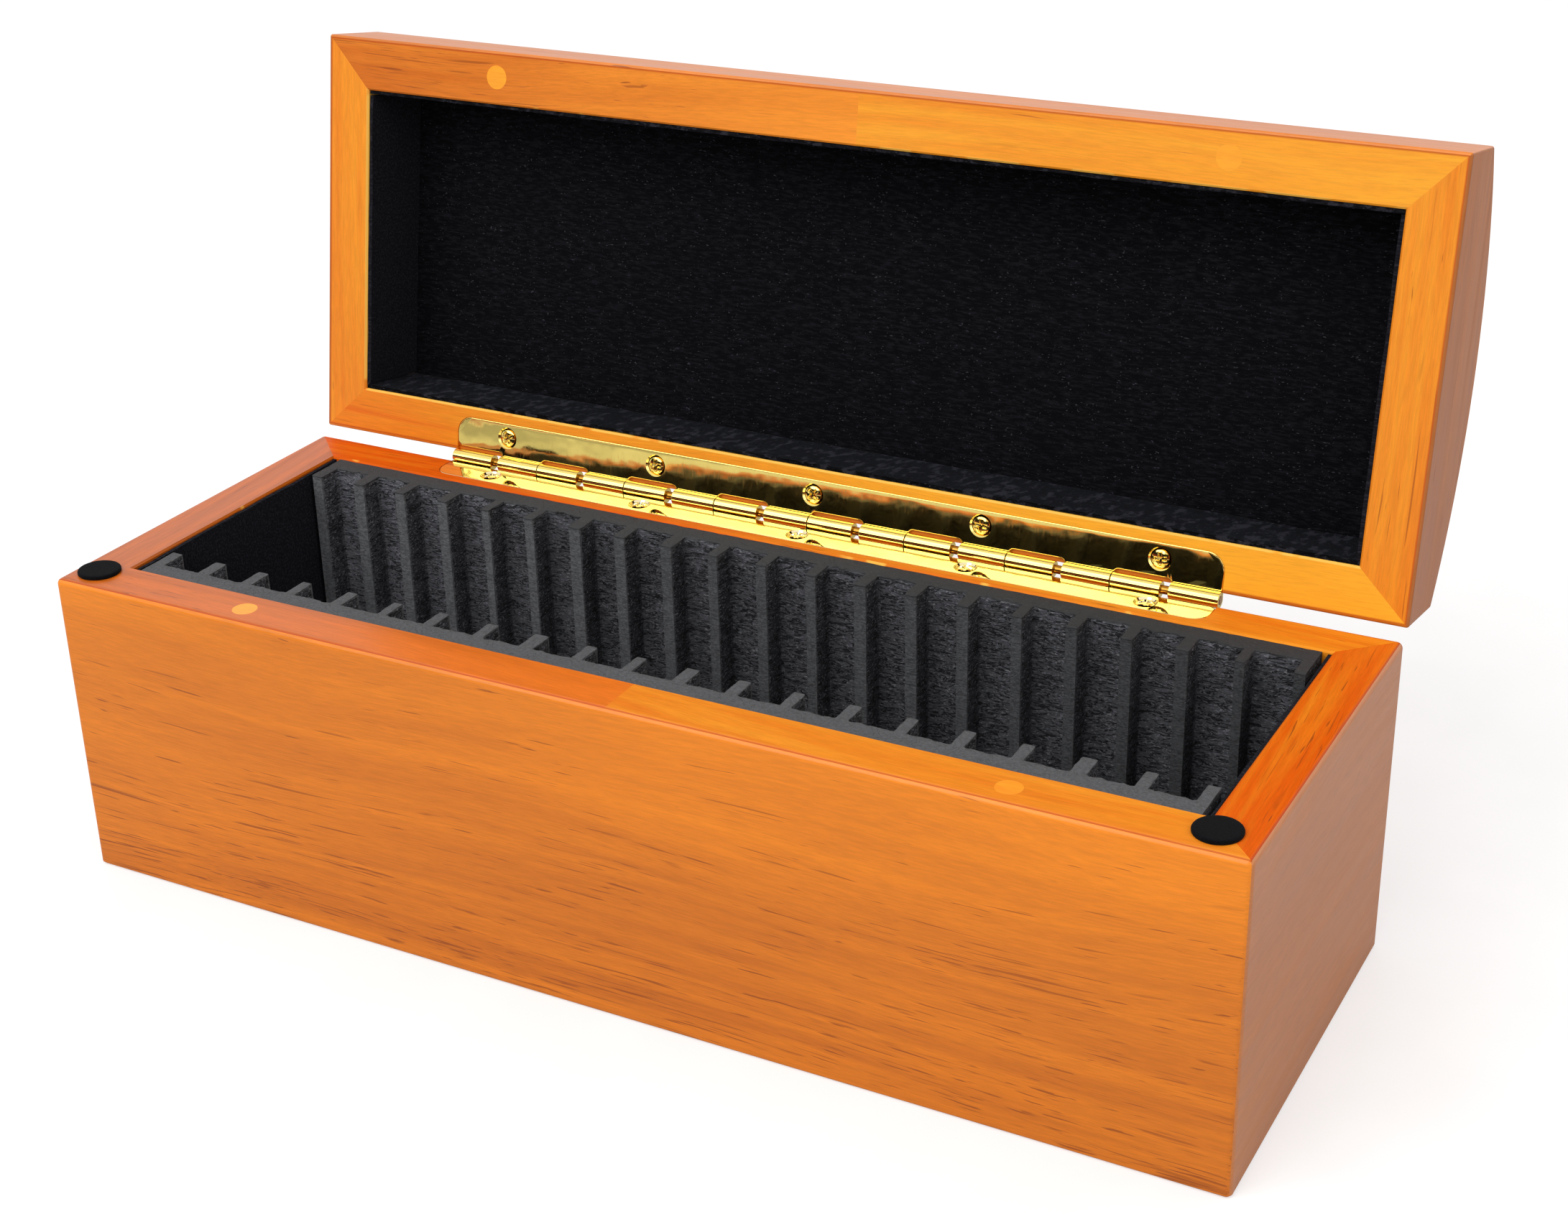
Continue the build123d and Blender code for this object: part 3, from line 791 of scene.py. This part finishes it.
class FoamOperator(bpy.types.Operator):
    """Cuts the two foam combs that hold the slabs"""

    bl_idname = "slab_box.foam"
    bl_label = "Foam combs"

    # Cell sizes: across a slot, across a rib, into the strip, along a rib, and from level to level
    SLOT_CELL = 0.0007
    RIB_CELL = 0.0008
    STRIP_CELL = 0.001
    REACH_CELL = 0.0009
    LEVEL_CELL = 0.0011

    def execute(self, context):
        soft = context.scene.slab_box.soft
        material = self.foam_finish(soft)
        for node, facing, seed in (("foam_comb_front", 1, 11), ("foam_comb_rear", -1, 29)):
            piece = self.comb(node, facing, seed, soft, material)
        return {"FINISHED"}

    def foam_finish(self, soft):
        """Charcoal foam: a smooth skin on the tops and tips, and cracked dark foam where it is cut, with
        painted shade on the ribs' sides and in the cracks, and painted glints on the cut foam.
        """
        finish = Finish("charcoal_foam")
        place = finish.own_place("box")
        axes = finish.axes(place)
        on_top, on_tip, at_back = self.zones(finish, axes, soft)
        skinned = finish.larger(on_tip, on_top)
        grains = finish.noise(place, (1500.0, 1500.0, 2600.0), 3.0, 0.75)
        cracks_and_shade = self.cracks_and_shade(finish, place)
        cut = self.cut_tone(finish, axes, grains, cracks_and_shade, at_back, soft)
        tone = finish.mix(skinned, cut, self.skin_tone(finish, place, grains, on_top, soft))
        glints = finish.noise(place, (1300.0, 1300.0, 3200.0), 0.0)
        bright = finish.product(finish.ramp(glints, 0.70, 0.77), finish.ramp(skinned, 0.0, 1.0, 0.8, 0.06))
        tone = finish.mix(bright, tone, FOAM_GLINT)
        relief = finish.less(finish.product(grains, 0.5), finish.product(cracks_and_shade, 0.8))
        bare = finish.less(1.0, finish.product(skinned, 0.85))
        finish.shade(
            Base_Color=tone,
            Roughness=0.85,
            Specular_IOR_Level=0.2,
            Normal=finish.bump(finish.product(relief, bare), 0.0008, 0.9),
        )
        return finish.material

    @staticmethod
    def zones(finish, axes, soft):
        """Where the combs' tops, the ribs' tips and the backs of the slots are, each from 0 to 1."""
        comb = node_box("foam_comb_front", "box")[1]
        middle = sum(corner.y for corner in node_box("floor_lining", "box")) / 2
        from_middle = finish.distance(axes[1], middle)
        tip = middle - comb.y
        root = tip + soft.rib_reach
        on_top = finish.ramp(axes[2], comb.z - 0.7 * MM, comb.z - 0.4 * MM)
        on_tip = finish.ramp(from_middle, tip + 0.75 * MM, tip + 0.45 * MM)
        at_back = finish.ramp(from_middle, root - 1.2 * MM, root - 0.5 * MM)
        return on_top, on_tip, at_back

    @staticmethod
    def cracks_and_shade(finish, place):
        """Creases and split cells of cut foam, which carry painted shade in the colour besides their bump."""
        creases = finish.noise(place, (190.0, 190.0, 900.0), 3.0, 0.6, 0.9)
        splits = finish.noise(place, (600.0, 600.0, 2600.0), 2.0, 0.6, 0.5)
        creased = finish.ramp(finish.distance(creases, 0.5), 0.006, 0.034, 1.0, 0.0)
        return finish.larger(creased, finish.ramp(splits, 0.60, 0.70))

    @staticmethod
    def cut_tone(finish, axes, grains, cracks_and_shade, at_back, soft):
        """Cut foam: light grains, cracks painted dark as shade, and painted shade on the ribs' sides; paler
        towards the left end of the row.
        """
        back = tuple(soft.foam_cut)
        # Away from the slots' backs the ribs' sides get the darker colour: painted shade
        tone = finish.mix(at_back, tuple(soft.foam_side), back)
        tone = finish.mix(finish.ramp(grains, 0.52, 0.70, 0.0, 0.9), tone, times(back, 2.8))
        # The cracks are painted dark: painted shade in the creases
        tone = finish.mix(finish.product(cracks_and_shade, 0.9), tone, times(back, 0.10))
        return finish.dim(tone, finish.ramp(axes[0], -0.125, -0.045, 1.7, 1.0))

    @staticmethod
    def skin_tone(finish, place, grains, on_top, soft):
        """Skin: blotched on the tops and darker on the rear comb, and mottled on the ribs' tips."""
        x, y = finish.axes(place)[:2]
        skin = tuple(soft.foam_skin)
        mottled = finish.ramp(grains, 0.35, 0.65)
        blotches = finish.noise(place, 160.0, 3.0, 0.6)
        top = finish.mix(mottled, times(skin, 0.78), times(skin, 1.12))
        top = finish.mix(finish.ramp(blotches, 0.45, 0.75, 0.0, 0.35), top, times(skin, 0.75))
        worn = finish.product(finish.ramp(y, -0.02, 0.02), finish.ramp(x, -0.05, 0.09, 0.72, 1.0))
        top = finish.mix(worn, top, times(skin, 0.42))
        tips = finish.mix(mottled, times(skin, 0.60), times(skin, 1.15))
        fade = finish.product(finish.ramp(x, -0.08, 0.0, 1.45, 0.95), finish.ramp(x, 0.03, 0.10, 1.0, 0.72))
        return finish.mix(on_top, finish.dim(tips, fade), top)

    def plan_columns(self, soft, chance):
        """The plan's x values, and the numbers of the columns between them that belong to a rib."""
        half_row = soft.slot_count * soft.slot_pitch / 2
        columns = []
        rib_columns = set()
        for rib in range(soft.slot_count + 1):
            middle = rib * soft.slot_pitch - half_row
            left = middle - soft.rib_thickness / 2
            right = middle + soft.rib_thickness / 2
            if rib > 0:
                left += chance.uniform(-0.30, 0.42) * MM
            if rib < soft.slot_count:
                right += chance.uniform(-0.42, 0.30) * MM
            if rib > 0:
                columns += steps(columns[-1], left, self.SLOT_CELL)[1:-1]
            start = len(columns)
            columns += steps(left, right, self.RIB_CELL)
            rib_columns.update(range(start, len(columns) - 1))
        return columns, rib_columns

    @staticmethod
    def outer_edges(cells):
        """The edges round the plan's filled cells, each with the way out of the foam."""
        edges = {}
        for i, k in cells:
            for ends, beyond, way in (
                (((i, k), (i + 1, k)), (i, k - 1), (0, -1)),
                (((i + 1, k), (i + 1, k + 1)), (i + 1, k), (1, 0)),
                (((i + 1, k + 1), (i, k + 1)), (i, k + 1), (0, 1)),
                (((i, k + 1), (i, k)), (i - 1, k), (-1, 0)),
            ):
                if beyond not in cells:
                    edges[ends] = way
        return edges

    @staticmethod
    def skin_rise(where, drop, in_slot, on_tip, is_corner, ragged):
        """How far the skin stands out, in millimetres, at a point that is `drop` below the comb's top."""
        rise = 0.08 * ripple(where, (0.006, 0.006, 0.011), 2)
        if in_slot:
            rise += 0.34 * ripple(where, (0.003, 0.003, 0.0012), 3) - 0.12
        elif on_tip:
            rise += 0.04 * ripple(where, (0.003, 0.003, 0.003), 2) - 0.06
        else:
            rise += 0.10 * ripple(where, (0.002, 0.002, 0.0016), 2)
        if is_corner and on_tip:
            rise -= 0.10
        torn_depth = 1.6 * MM
        if drop < torn_depth and not on_tip:
            torn = ripple(where, (0.0015, 0.0015, 0.004), 3)
            rise += (ragged if in_slot else 0.14) * torn * (1 - drop / torn_depth)
        return rise

    def comb(self, node, facing, seed, soft, material):
        """One comb: a plan grid stood up in levels, its skin moved by noise and its tops torn a little."""
        low, high = node_box(node, "box")
        back = low.y if facing > 0 else high.y
        ragged = 0.30 if facing > 0 else 0.80
        columns, rib_columns = self.plan_columns(soft, random.Random(seed))
        rows = steps(0.0, soft.strip_depth, self.STRIP_CELL)
        strip_rows = len(rows) - 1
        rows += steps(soft.strip_depth, soft.strip_depth + soft.rib_reach, self.REACH_CELL)[1:]
        levels = steps(low.z, high.z - 0.0026, self.LEVEL_CELL)
        levels += [high.z - drop * MM for drop in (2.0, 1.4, 0.9, 0.5, 0.2, 0.0)]
        cells = {
            (i, k)
            for i in range(len(columns) - 1)
            for k in range(len(rows) - 1)
            if k < strip_rows or i in rib_columns
        }
        outside = self.outer_edges(cells)
        pushes = {}
        for ends, push in outside.items():
            for corner in ends:
                pushes.setdefault(corner, []).append(push)
        bm = bmesh.new()
        made = {}
        top = len(levels) - 1
        last_row = len(rows) - 1

        def foam_point(corner, level):
            """A corner of the plan at one level, with the foam's uneven skin."""
            i, k = corner
            point = Vector((columns[i], back + facing * rows[k], levels[level]))
            where = point + Vector((0, seed * 0.013, 0))
            if level == top:
                point.z -= (0.06 + 0.16 * abs(ripple(where, (0.004, 0.004, 0.01), 2))) * MM
            found = pushes.get(corner)
            if not found:
                return point
            push = Vector((sum(p[0] for p in found), facing * sum(p[1] for p in found), 0)).normalized()
            if k == 0 or i in (0, len(columns) - 1):
                return point - push * 0.05 * MM
            is_corner = len(set(found)) > 1
            in_slot = k == strip_rows and not is_corner
            drop = levels[top] - levels[level]
            rise = self.skin_rise(where, drop, in_slot, k == last_row, is_corner, ragged)
            if level == top:
                point.z -= 0.05 * MM
                rise -= 0.14
            return point + push * rise * MM

        def vertex(corner, level):
            key = (corner, level)
            if key not in made:
                made[key] = bm.verts.new(foam_point(corner, level))
            return made[key]

        for first, second in outside:
            for level in range(top):
                ends = ((first, level), (second, level), (second, level + 1), (first, level + 1))
                bm.faces.new([vertex(*end) for end in ends])
        for i, k in cells:
            for level in (0, top):
                corners = ((i, k), (i + 1, k), (i + 1, k + 1), (i, k + 1))
                bm.faces.new([vertex(corner, level) for corner in corners])
        return finish_piece(node + "_foam", bm, "box", material, [node], 42.0)


def gold_finish(name, body, colour, twist=0.0):
    """Mirror-polished gold plate with faint waves and rub marks, on a leaf whose ends may lean."""
    finish = Finish(name)
    place = finish.own_place(body)
    x, y = finish.axes(place)[:2]
    waves = finish.noise(place, 120.0, 2.0)
    rubs = finish.noise(place, (3000.0, 400.0, 400.0), 2.0, 0.6)
    if body == "box":
        # Away from the barrels the body leaf's plating is paled: painted reflection of the pale light its
        # flat mirrors
        flat_painted_reflection = finish.ramp(y, HINGE_AXIS.y - 2.1 * MM, HINGE_AXIS.y - 2.6 * MM)
        colour = finish.mix(flat_painted_reflection, colour, tuple(0.35 + 0.65 * part for part in colour))
    shaded = finish.mix(1.0, colour, (0.94, 0.94, 0.94), "MULTIPLY")
    across = finish.less(y, HINGE_AXIS.y - 5.0 * MM)
    left_lean = finish.ramp(x, -0.085, 0.01, twist, 0.0)
    right_lean = finish.ramp(x, 0.05, 0.09, 0.0, 0.8 * twist)
    lean = finish.product(across, finish.less(left_lean, right_lean))
    finish.shade(
        Base_Color=finish.mix(finish.ramp(waves, 0.3, 0.7), colour, shaded),
        Metallic=1.0,
        Roughness=finish.ramp(rubs, 0.45, 0.8, 0.04, 0.09),
        Normal=finish.bump(finish.sum_of(lean, (waves, 0.05 * MM)), 1.0),
    )
    return finish.material


class HingeOperator(bpy.types.Operator):
    """Makes the two rolled leaves of the hinge and finishes its pin"""

    bl_idname = "slab_box.hinge"
    bl_label = "Hinge leaves and pin"

    def execute(self, context):
        hinge = context.scene.slab_box.hinge
        colour = tuple(hinge.plating)
        for body, twist in (("box", 0.0), ("lid", hinge.leaf_twist)):
            node = f"hinge_{body}_leaf"
            material = gold_finish(f"gold_plate_{body}_leaf", body, colour, twist)
            bm = bmesh.new()
            self.plate(bm, hinge, LEAF_PLACES[body])
            for centre in self.knuckles(hinge):
                self.knuckle(bm, hinge, centre, LEAF_PLACES[body])
            leaf = finish_piece(node + "_plated", bm, body, material, [node], 35.0)
            flat = leaf.modifiers.new("flat_faces", "WEIGHTED_NORMAL")
            flat.keep_sharp = True
            flat.weight = 100
        paint_node("hinge_pin", gold_finish("gold_plate_pin", "box", tuple(hinge.pin_plating)))
        return {"FINISHED"}

    @staticmethod
    def knuckles(hinge):
        """Middles of a leaf's own knuckles along the pin."""
        length = hinge.knuckle_count * hinge.knuckle_pitch
        first = (hinge.knuckle_gap + knuckle_length(hinge) - length) / 2
        return [first + i * hinge.knuckle_pitch for i in range(0, hinge.knuckle_count, 2)]

    def plate(self, bm, hinge, place):
        """The flat of a leaf with its tabs, rounded edges and countersunk seats."""
        face = -hinge.leaf_drop
        under = face - hinge.leaf_thickness
        end = (hinge.knuckle_count * hinge.knuckle_pitch - hinge.knuckle_gap) / 2
        outer = -(hinge.axis_behind + hinge.leaf_width)
        window = -(hinge.axis_behind + hinge.window_inset)
        half = knuckle_length(hinge) / 2
        corners = [
            (-end, outer, hinge.leaf_corner),
            (end, outer, hinge.leaf_corner),
            (end, window, hinge.window_corner),
        ]
        for centre in reversed(self.knuckles(hinge)):
            corners.append((centre + half, window, hinge.window_corner))
            corners.append((centre + half, tab_end(hinge), 0.0))
            corners.append((centre - half, tab_end(hinge), 0.0))
            corners.append((centre - half, window, hinge.window_corner))
        del corners[-1]
        outline = rounded_outline(corners, 0.0003)
        bevel = 0.00028
        bends = 4
        rings = []
        for i in range(bends + 1):
            angle = math.radians(90) * i / bends
            ring = inset_outline(outline, bevel * (1 - math.sin(angle)))
            rings.append(ring_of(bm, ring, face - bevel * (1 - math.cos(angle)), place))
        rings.append(ring_of(bm, outline, under, place))
        for first, second in zip(rings, rings[1:]):
            join_rings(bm, first, second)
        tops = [rings[0]]
        bottoms = [rings[-1]]
        sink = hinge.screw_sink_radius
        for centre in seat_places(hinge):
            seat = ring_of(bm, circle_points(centre, sink, 48), face, place)
            hole = ring_of(bm, circle_points(centre, sink - hinge.leaf_thickness, 48), under, place)
            join_rings(bm, seat, hole)
            tops.append(seat)
            bottoms.append(hole)
        fill_between(bm, tops)
        fill_between(bm, bottoms)

    def knuckle(self, bm, hinge, centre, place):
        """One knuckle: the tab's end rolled round the pin, with a slit where the roll ends."""
        face = -hinge.leaf_drop
        under = face - hinge.leaf_thickness
        inner = hinge.bore_radius
        half = knuckle_length(hinge) / 2
        lip = face + hinge.curl_gap
        start = math.pi + math.asin(-face / inner)
        stop = math.pi + math.asin(-lip / inner) + math.tau
        outer_start = math.pi + math.asin(-lip / hinge.barrel_radius) + math.tau
        outer_stop = 1.5 * math.pi
        bevel = 0.00016
        sections = []
        for at, cut in ((-half, bevel), (bevel * 0.3 - half, bevel * 0.3), (bevel - half, 0.0),
                        (half - bevel, 0.0), (half - bevel * 0.3, bevel * 0.3), (half, bevel)):
            outer = hinge.barrel_radius - cut
            bore = [(inner * math.cos(a), inner * math.sin(a)) for a in steps(start, stop, 0.2)]
            back = [(outer * math.cos(a), outer * math.sin(a)) for a in steps(outer_stop, outer_start, 0.11)]
            profile = [(tab_end(hinge), face), *bore, *reversed(back), (tab_end(hinge), under)]
            sections.append([bm.verts.new(place @ Vector((centre + at, y, z))) for y, z in profile])
        for first, second in zip(sections, sections[1:]):
            join_rings(bm, first, second)
        bm.faces.new(sections[0])
        bm.faces.new(list(reversed(sections[-1])))


def knuckle_length(hinge):
    """Length of one knuckle along the pin."""
    return hinge.knuckle_pitch - (hinge.knuckle_gap + hinge.knuckle_space) / 2


def tab_end(hinge):
    """How far from the pin's axis a leaf's tabs end and its knuckles begin."""
    return -0.7 * hinge.barrel_radius


def seat_places(hinge):
    """Middles of a leaf's screw seats."""
    middle = (hinge.screw_count - 1) / 2
    across = -(hinge.axis_behind + hinge.screw_inset)
    return [((i - middle) * hinge.screw_pitch, across) for i in range(hinge.screw_count)]


class ScrewOperator(bpy.types.Operator):
    """Drives the cross-slot screws into the hinge's leaves"""

    bl_idname = "slab_box.screws"
    bl_label = "Hinge screws"

    SLOT_DEPTH = 0.75 * MM

    def execute(self, context):
        hinge = context.scene.slab_box.hinge
        chance = random.Random(5)
        for body in PLACES:
            node = f"hinge_{body}_screws"
            material = gold_finish(f"gold_plate_{body}_screws", body, tuple(hinge.plating))
            bm = bmesh.new()
            for centre in seat_places(hinge):
                self.screw(bm, hinge, centre, chance.uniform(0, math.pi / 2), LEAF_PLACES[body])
            finish_piece(node + "_crosshead", bm, body, material, [node], 50.0)
        return {"FINISHED"}

    def screw(self, bm, hinge, centre, turn, place):
        """A countersunk screw: a low dome with a cross slot, a cone and a threaded shank."""
        count = 64
        head = hinge.screw_sink_radius - 2.6 * hinge.screw_below
        shank = hinge.screw_sink_radius - hinge.leaf_thickness
        edge = -hinge.leaf_drop - hinge.screw_below
        under = -hinge.leaf_drop - hinge.leaf_thickness
        rings = []
        for share in [0.06 * i for i in range(1, 16)] + [0.95, 1.0]:
            dome = edge + 0.34 * MM * (1 - share**2.4)
            ring = []
            for point in circle_points((0, 0), head * share, count, turn):
                height = dome - self.slot_depth(point, turn)
                ring.append(bm.verts.new(place @ Vector((centre[0] + point.x, centre[1] + point.y, height))))
            rings.append(ring)
        middle = bm.verts.new(place @ Vector((*centre, edge - self.SLOT_DEPTH)))
        for i in range(count):
            bm.faces.new((middle, rings[0][i], rings[0][(i + 1) % count]))
        below = [(head - 0.12 * MM, edge - 0.12 * MM), (shank - 0.05 * MM, under)]
        pitch = 1.1 * MM
        tip = -hinge.leaf_drop - hinge.screw_length
        for height in steps(tip, under - 0.0004, 0.00028)[::-1]:
            taper = min(1.0, (height - tip) / (1.8 * MM) + 0.12)
            below.append((shank * taper, height))
        for number, (radius, height) in enumerate(below):
            ring = []
            for i, point in enumerate(circle_points((0, 0), 1.0, count, turn)):
                thread = 0.0
                if number > 1:
                    phase = (height / pitch - i / count) % 1.0
                    thread = 0.22 * MM * (1 - abs(2 * phase - 1))
                reach = max(0.1 * MM, radius - thread)
                spot = Vector((centre[0] + point.x * reach, centre[1] + point.y * reach, height))
                ring.append(bm.verts.new(place @ spot))
            rings.append(ring)
        for first, second in zip(rings, rings[1:]):
            join_rings(bm, first, second)
        bm.faces.new(list(reversed(rings[-1])))

    def slot_depth(self, point, turn):
        """Depth of the cross slot at a point of the head."""
        local = point.copy()
        local.rotate(Matrix.Rotation(turn, 2))
        long, short = max(abs(local.x), abs(local.y)), min(abs(local.x), abs(local.y))
        arm = 1.5 * MM
        half_width = 0.36 * MM
        inside = min(1.0, max(0.0, (half_width - short) / (0.12 * MM) + 0.5))
        fade = min(1.0, max(0.0, (arm - long) / (0.2 * MM)))
        return self.SLOT_DEPTH * inside * fade * (1 - 0.45 * long / arm)


class StageOperator(bpy.types.Operator):
    """Sets the floor, the light and the camera"""

    bl_idname = "slab_box.stage"
    bl_label = "Studio"

    def execute(self, context):
        studio = context.scene.slab_box.studio
        self.floor()
        self.world(studio)
        self.softbox("key_light", (-0.45, -1.24, 1.3), 1.5, studio.key)
        self.softbox("fill_light", (1.3, -0.7, 0.8), 1.0, studio.fill)
        self.camera(context.scene, studio)
        context.scene.view_settings.view_transform = "Standard"
        return {"FINISHED"}

    def floor(self):
        """A pale floor that looks white to the camera and keeps the box's shadow."""
        finish = Finish("pale_floor")
        place = finish.add("ShaderNodeTexCoord", output=3)
        mottle = finish.noise(place, 40.0, 3.0)
        colour = finish.mix(finish.ramp(mottle, 0.3, 0.7), (0.54, 0.54, 0.54), (0.56, 0.56, 0.56))
        finish.shade(Base_Color=colour, Roughness=0.9, Specular_IOR_Level=0.0)
        seen = finish.add("ShaderNodeLightPath", output=0)
        strength = finish.product(seen, 0.5)
        glow = finish.add("ShaderNodeEmission", {"Color": WHITE, "Strength": strength})
        both = finish.add("ShaderNodeAddShader", {0: finish.shader.outputs[0], 1: glow})
        out = finish.tree.nodes["Material Output"]
        finish.tree.links.new(both, out.inputs["Surface"])
        mesh = bpy.data.meshes.new("floor")
        reach = 6.0
        corners = [(-reach, -reach, 0), (reach, -reach, 0), (reach, reach, 0), (-reach, reach, 0)]
        mesh.from_pydata(corners, [], [(0, 1, 2, 3)])
        mesh.materials.append(finish.material)
        floor = bpy.data.objects.new("floor", mesh)
        bpy.context.scene.collection.objects.link(floor)

    def world(self, studio):
        """White for the camera, softer as a light, and white with dark bands at the front in reflections."""
        world = bpy.data.worlds.new("studio")
        world.use_nodes = True
        bpy.context.scene.world = world
        nodes = NodeTree(world.node_tree)
        nodes.tree.nodes.clear()
        direction = nodes.add("ShaderNodeTexCoord", output=0)
        y, z = nodes.axes(direction)[1:]
        light = nodes.ramp(z, 0.0, 1.0, studio.horizon, studio.sky)
        patch = nodes.product(nodes.ramp(y, -0.85, -0.92), nodes.ramp(nodes.distance(z), 0.22, 0.10))
        front = nodes.ramp(y, -0.40, -0.60)
        band = nodes.product(front, self.stripe(nodes, z, 0.18, 0.22))
        line = nodes.product(front, self.stripe(nodes, z, 0.58, 0.09))
        dark = nodes.larger(nodes.larger(patch, band), line)
        reflected = nodes.ramp(dark, 0.0, 1.0, 1.0, 0.02)
        camera, glossy, transmission = (nodes.add("ShaderNodeLightPath", output=i) for i in (0, 3, 6))
        strength = nodes.sum_of(nodes.product(light, nodes.less(1.0, glossy)), (reflected, glossy))
        strength = nodes.larger(strength, nodes.larger(camera, transmission))
        # The middle of the dark band is a deep red that only reflections see
        red = nodes.product(nodes.product(band, self.stripe(nodes, z, 0.05, 0.07)), glossy)
        strength = nodes.larger(strength, nodes.product(red, 0.22))
        colour = nodes.mix(red, WHITE, DEEP_RED)
        background = nodes.add("ShaderNodeBackground", {"Color": colour, "Strength": strength})
        nodes.add("ShaderNodeOutputWorld", {"Surface": background})

    @staticmethod
    def stripe(nodes, value, middle, half):
        """One near a middle value, falling to zero at `half` from it."""
        return nodes.ramp(nodes.distance(value, middle), half, 0.6 * half)

    def softbox(self, name, position, size, power):
        """A large square area light aimed at the box."""
        data = bpy.data.lights.new(name, "AREA")
        data.shape = "SQUARE"
        data.size = size
        data.energy = power
        light = bpy.data.objects.new(name, data)
        light.location = position
        towards_box = Vector((0.0, 0.0, 0.06)) - Vector(position)
        light.rotation_euler = towards_box.to_track_quat("-Z", "Y").to_euler()
        bpy.context.scene.collection.objects.link(light)

    def camera(self, scene, studio):
        """The camera at the photograph's place, angle and focal length."""
        turn, rise, roll = studio.azimuth, studio.elevation, studio.roll
        back = Vector(
            (math.sin(turn) * math.cos(rise), -math.cos(turn) * math.cos(rise), math.sin(rise))
        )
        level = Vector((math.cos(turn), math.sin(turn), 0.0))
        upright = back.cross(level)
        right = math.cos(roll) * level + math.sin(roll) * upright
        up = math.cos(roll) * upright - math.sin(roll) * level
        data = bpy.data.cameras.new("photo_camera")
        data.sensor_fit = "HORIZONTAL"
        data.sensor_width = 36.0
        data.lens = studio.focal
        data.clip_start = 0.01
        data.clip_end = 50.0
        camera = bpy.data.objects.new("photo_camera", data)
        camera.matrix_world = Matrix.Translation(studio.position) @ Matrix(
            (right, up, back)
        ).transposed().to_4x4()
        scene.collection.objects.link(camera)
        scene.camera = camera


class SlabBoxPanel(bpy.types.Panel):
    """Lists the parts of the slab box"""

    bl_idname = "SLABBOX_PT_parts"
    bl_label = "Slab box"
    bl_space_type = "VIEW_3D"
    bl_region_type = "UI"
    bl_category = "Slab Box"

    def draw(self, context):
        settings = context.scene.slab_box
        for operator in OPERATORS:
            self.layout.operator(operator.bl_idname)
        for group in (settings.wood, settings.soft, settings.hinge, settings.studio):
            box = self.layout.box()
            for name in group.bl_rna.properties.keys():
                if name not in ("name", "rna_type"):
                    box.prop(group, name)


OPERATORS = (
    WoodOperator,
    MagnetOperator,
    VelvetOperator,
    FeltOperator,
    FoamOperator,
    HingeOperator,
    ScrewOperator,
    StageOperator,
)
CLASSES = (WoodFinish, SoftParts, HingeSizes, StudioSettings, SlabBoxSettings, *OPERATORS, SlabBoxPanel)


def register():
    for cls in CLASSES:
        bpy.utils.register_class(cls)
    bpy.types.Scene.slab_box = PointerProperty(type=SlabBoxSettings)


def unregister():
    del bpy.types.Scene.slab_box
    for cls in reversed(CLASSES):
        bpy.utils.unregister_class(cls)


def main():
    """Builds every part."""
    register()
    bpy.ops.slab_box.wood()
    bpy.ops.slab_box.magnets()
    bpy.ops.slab_box.velvet()
    bpy.ops.slab_box.felt()
    bpy.ops.slab_box.foam()
    bpy.ops.slab_box.hinge()
    bpy.ops.slab_box.screws()
    bpy.ops.slab_box.stage()


if __name__ == "__main__":
    main()
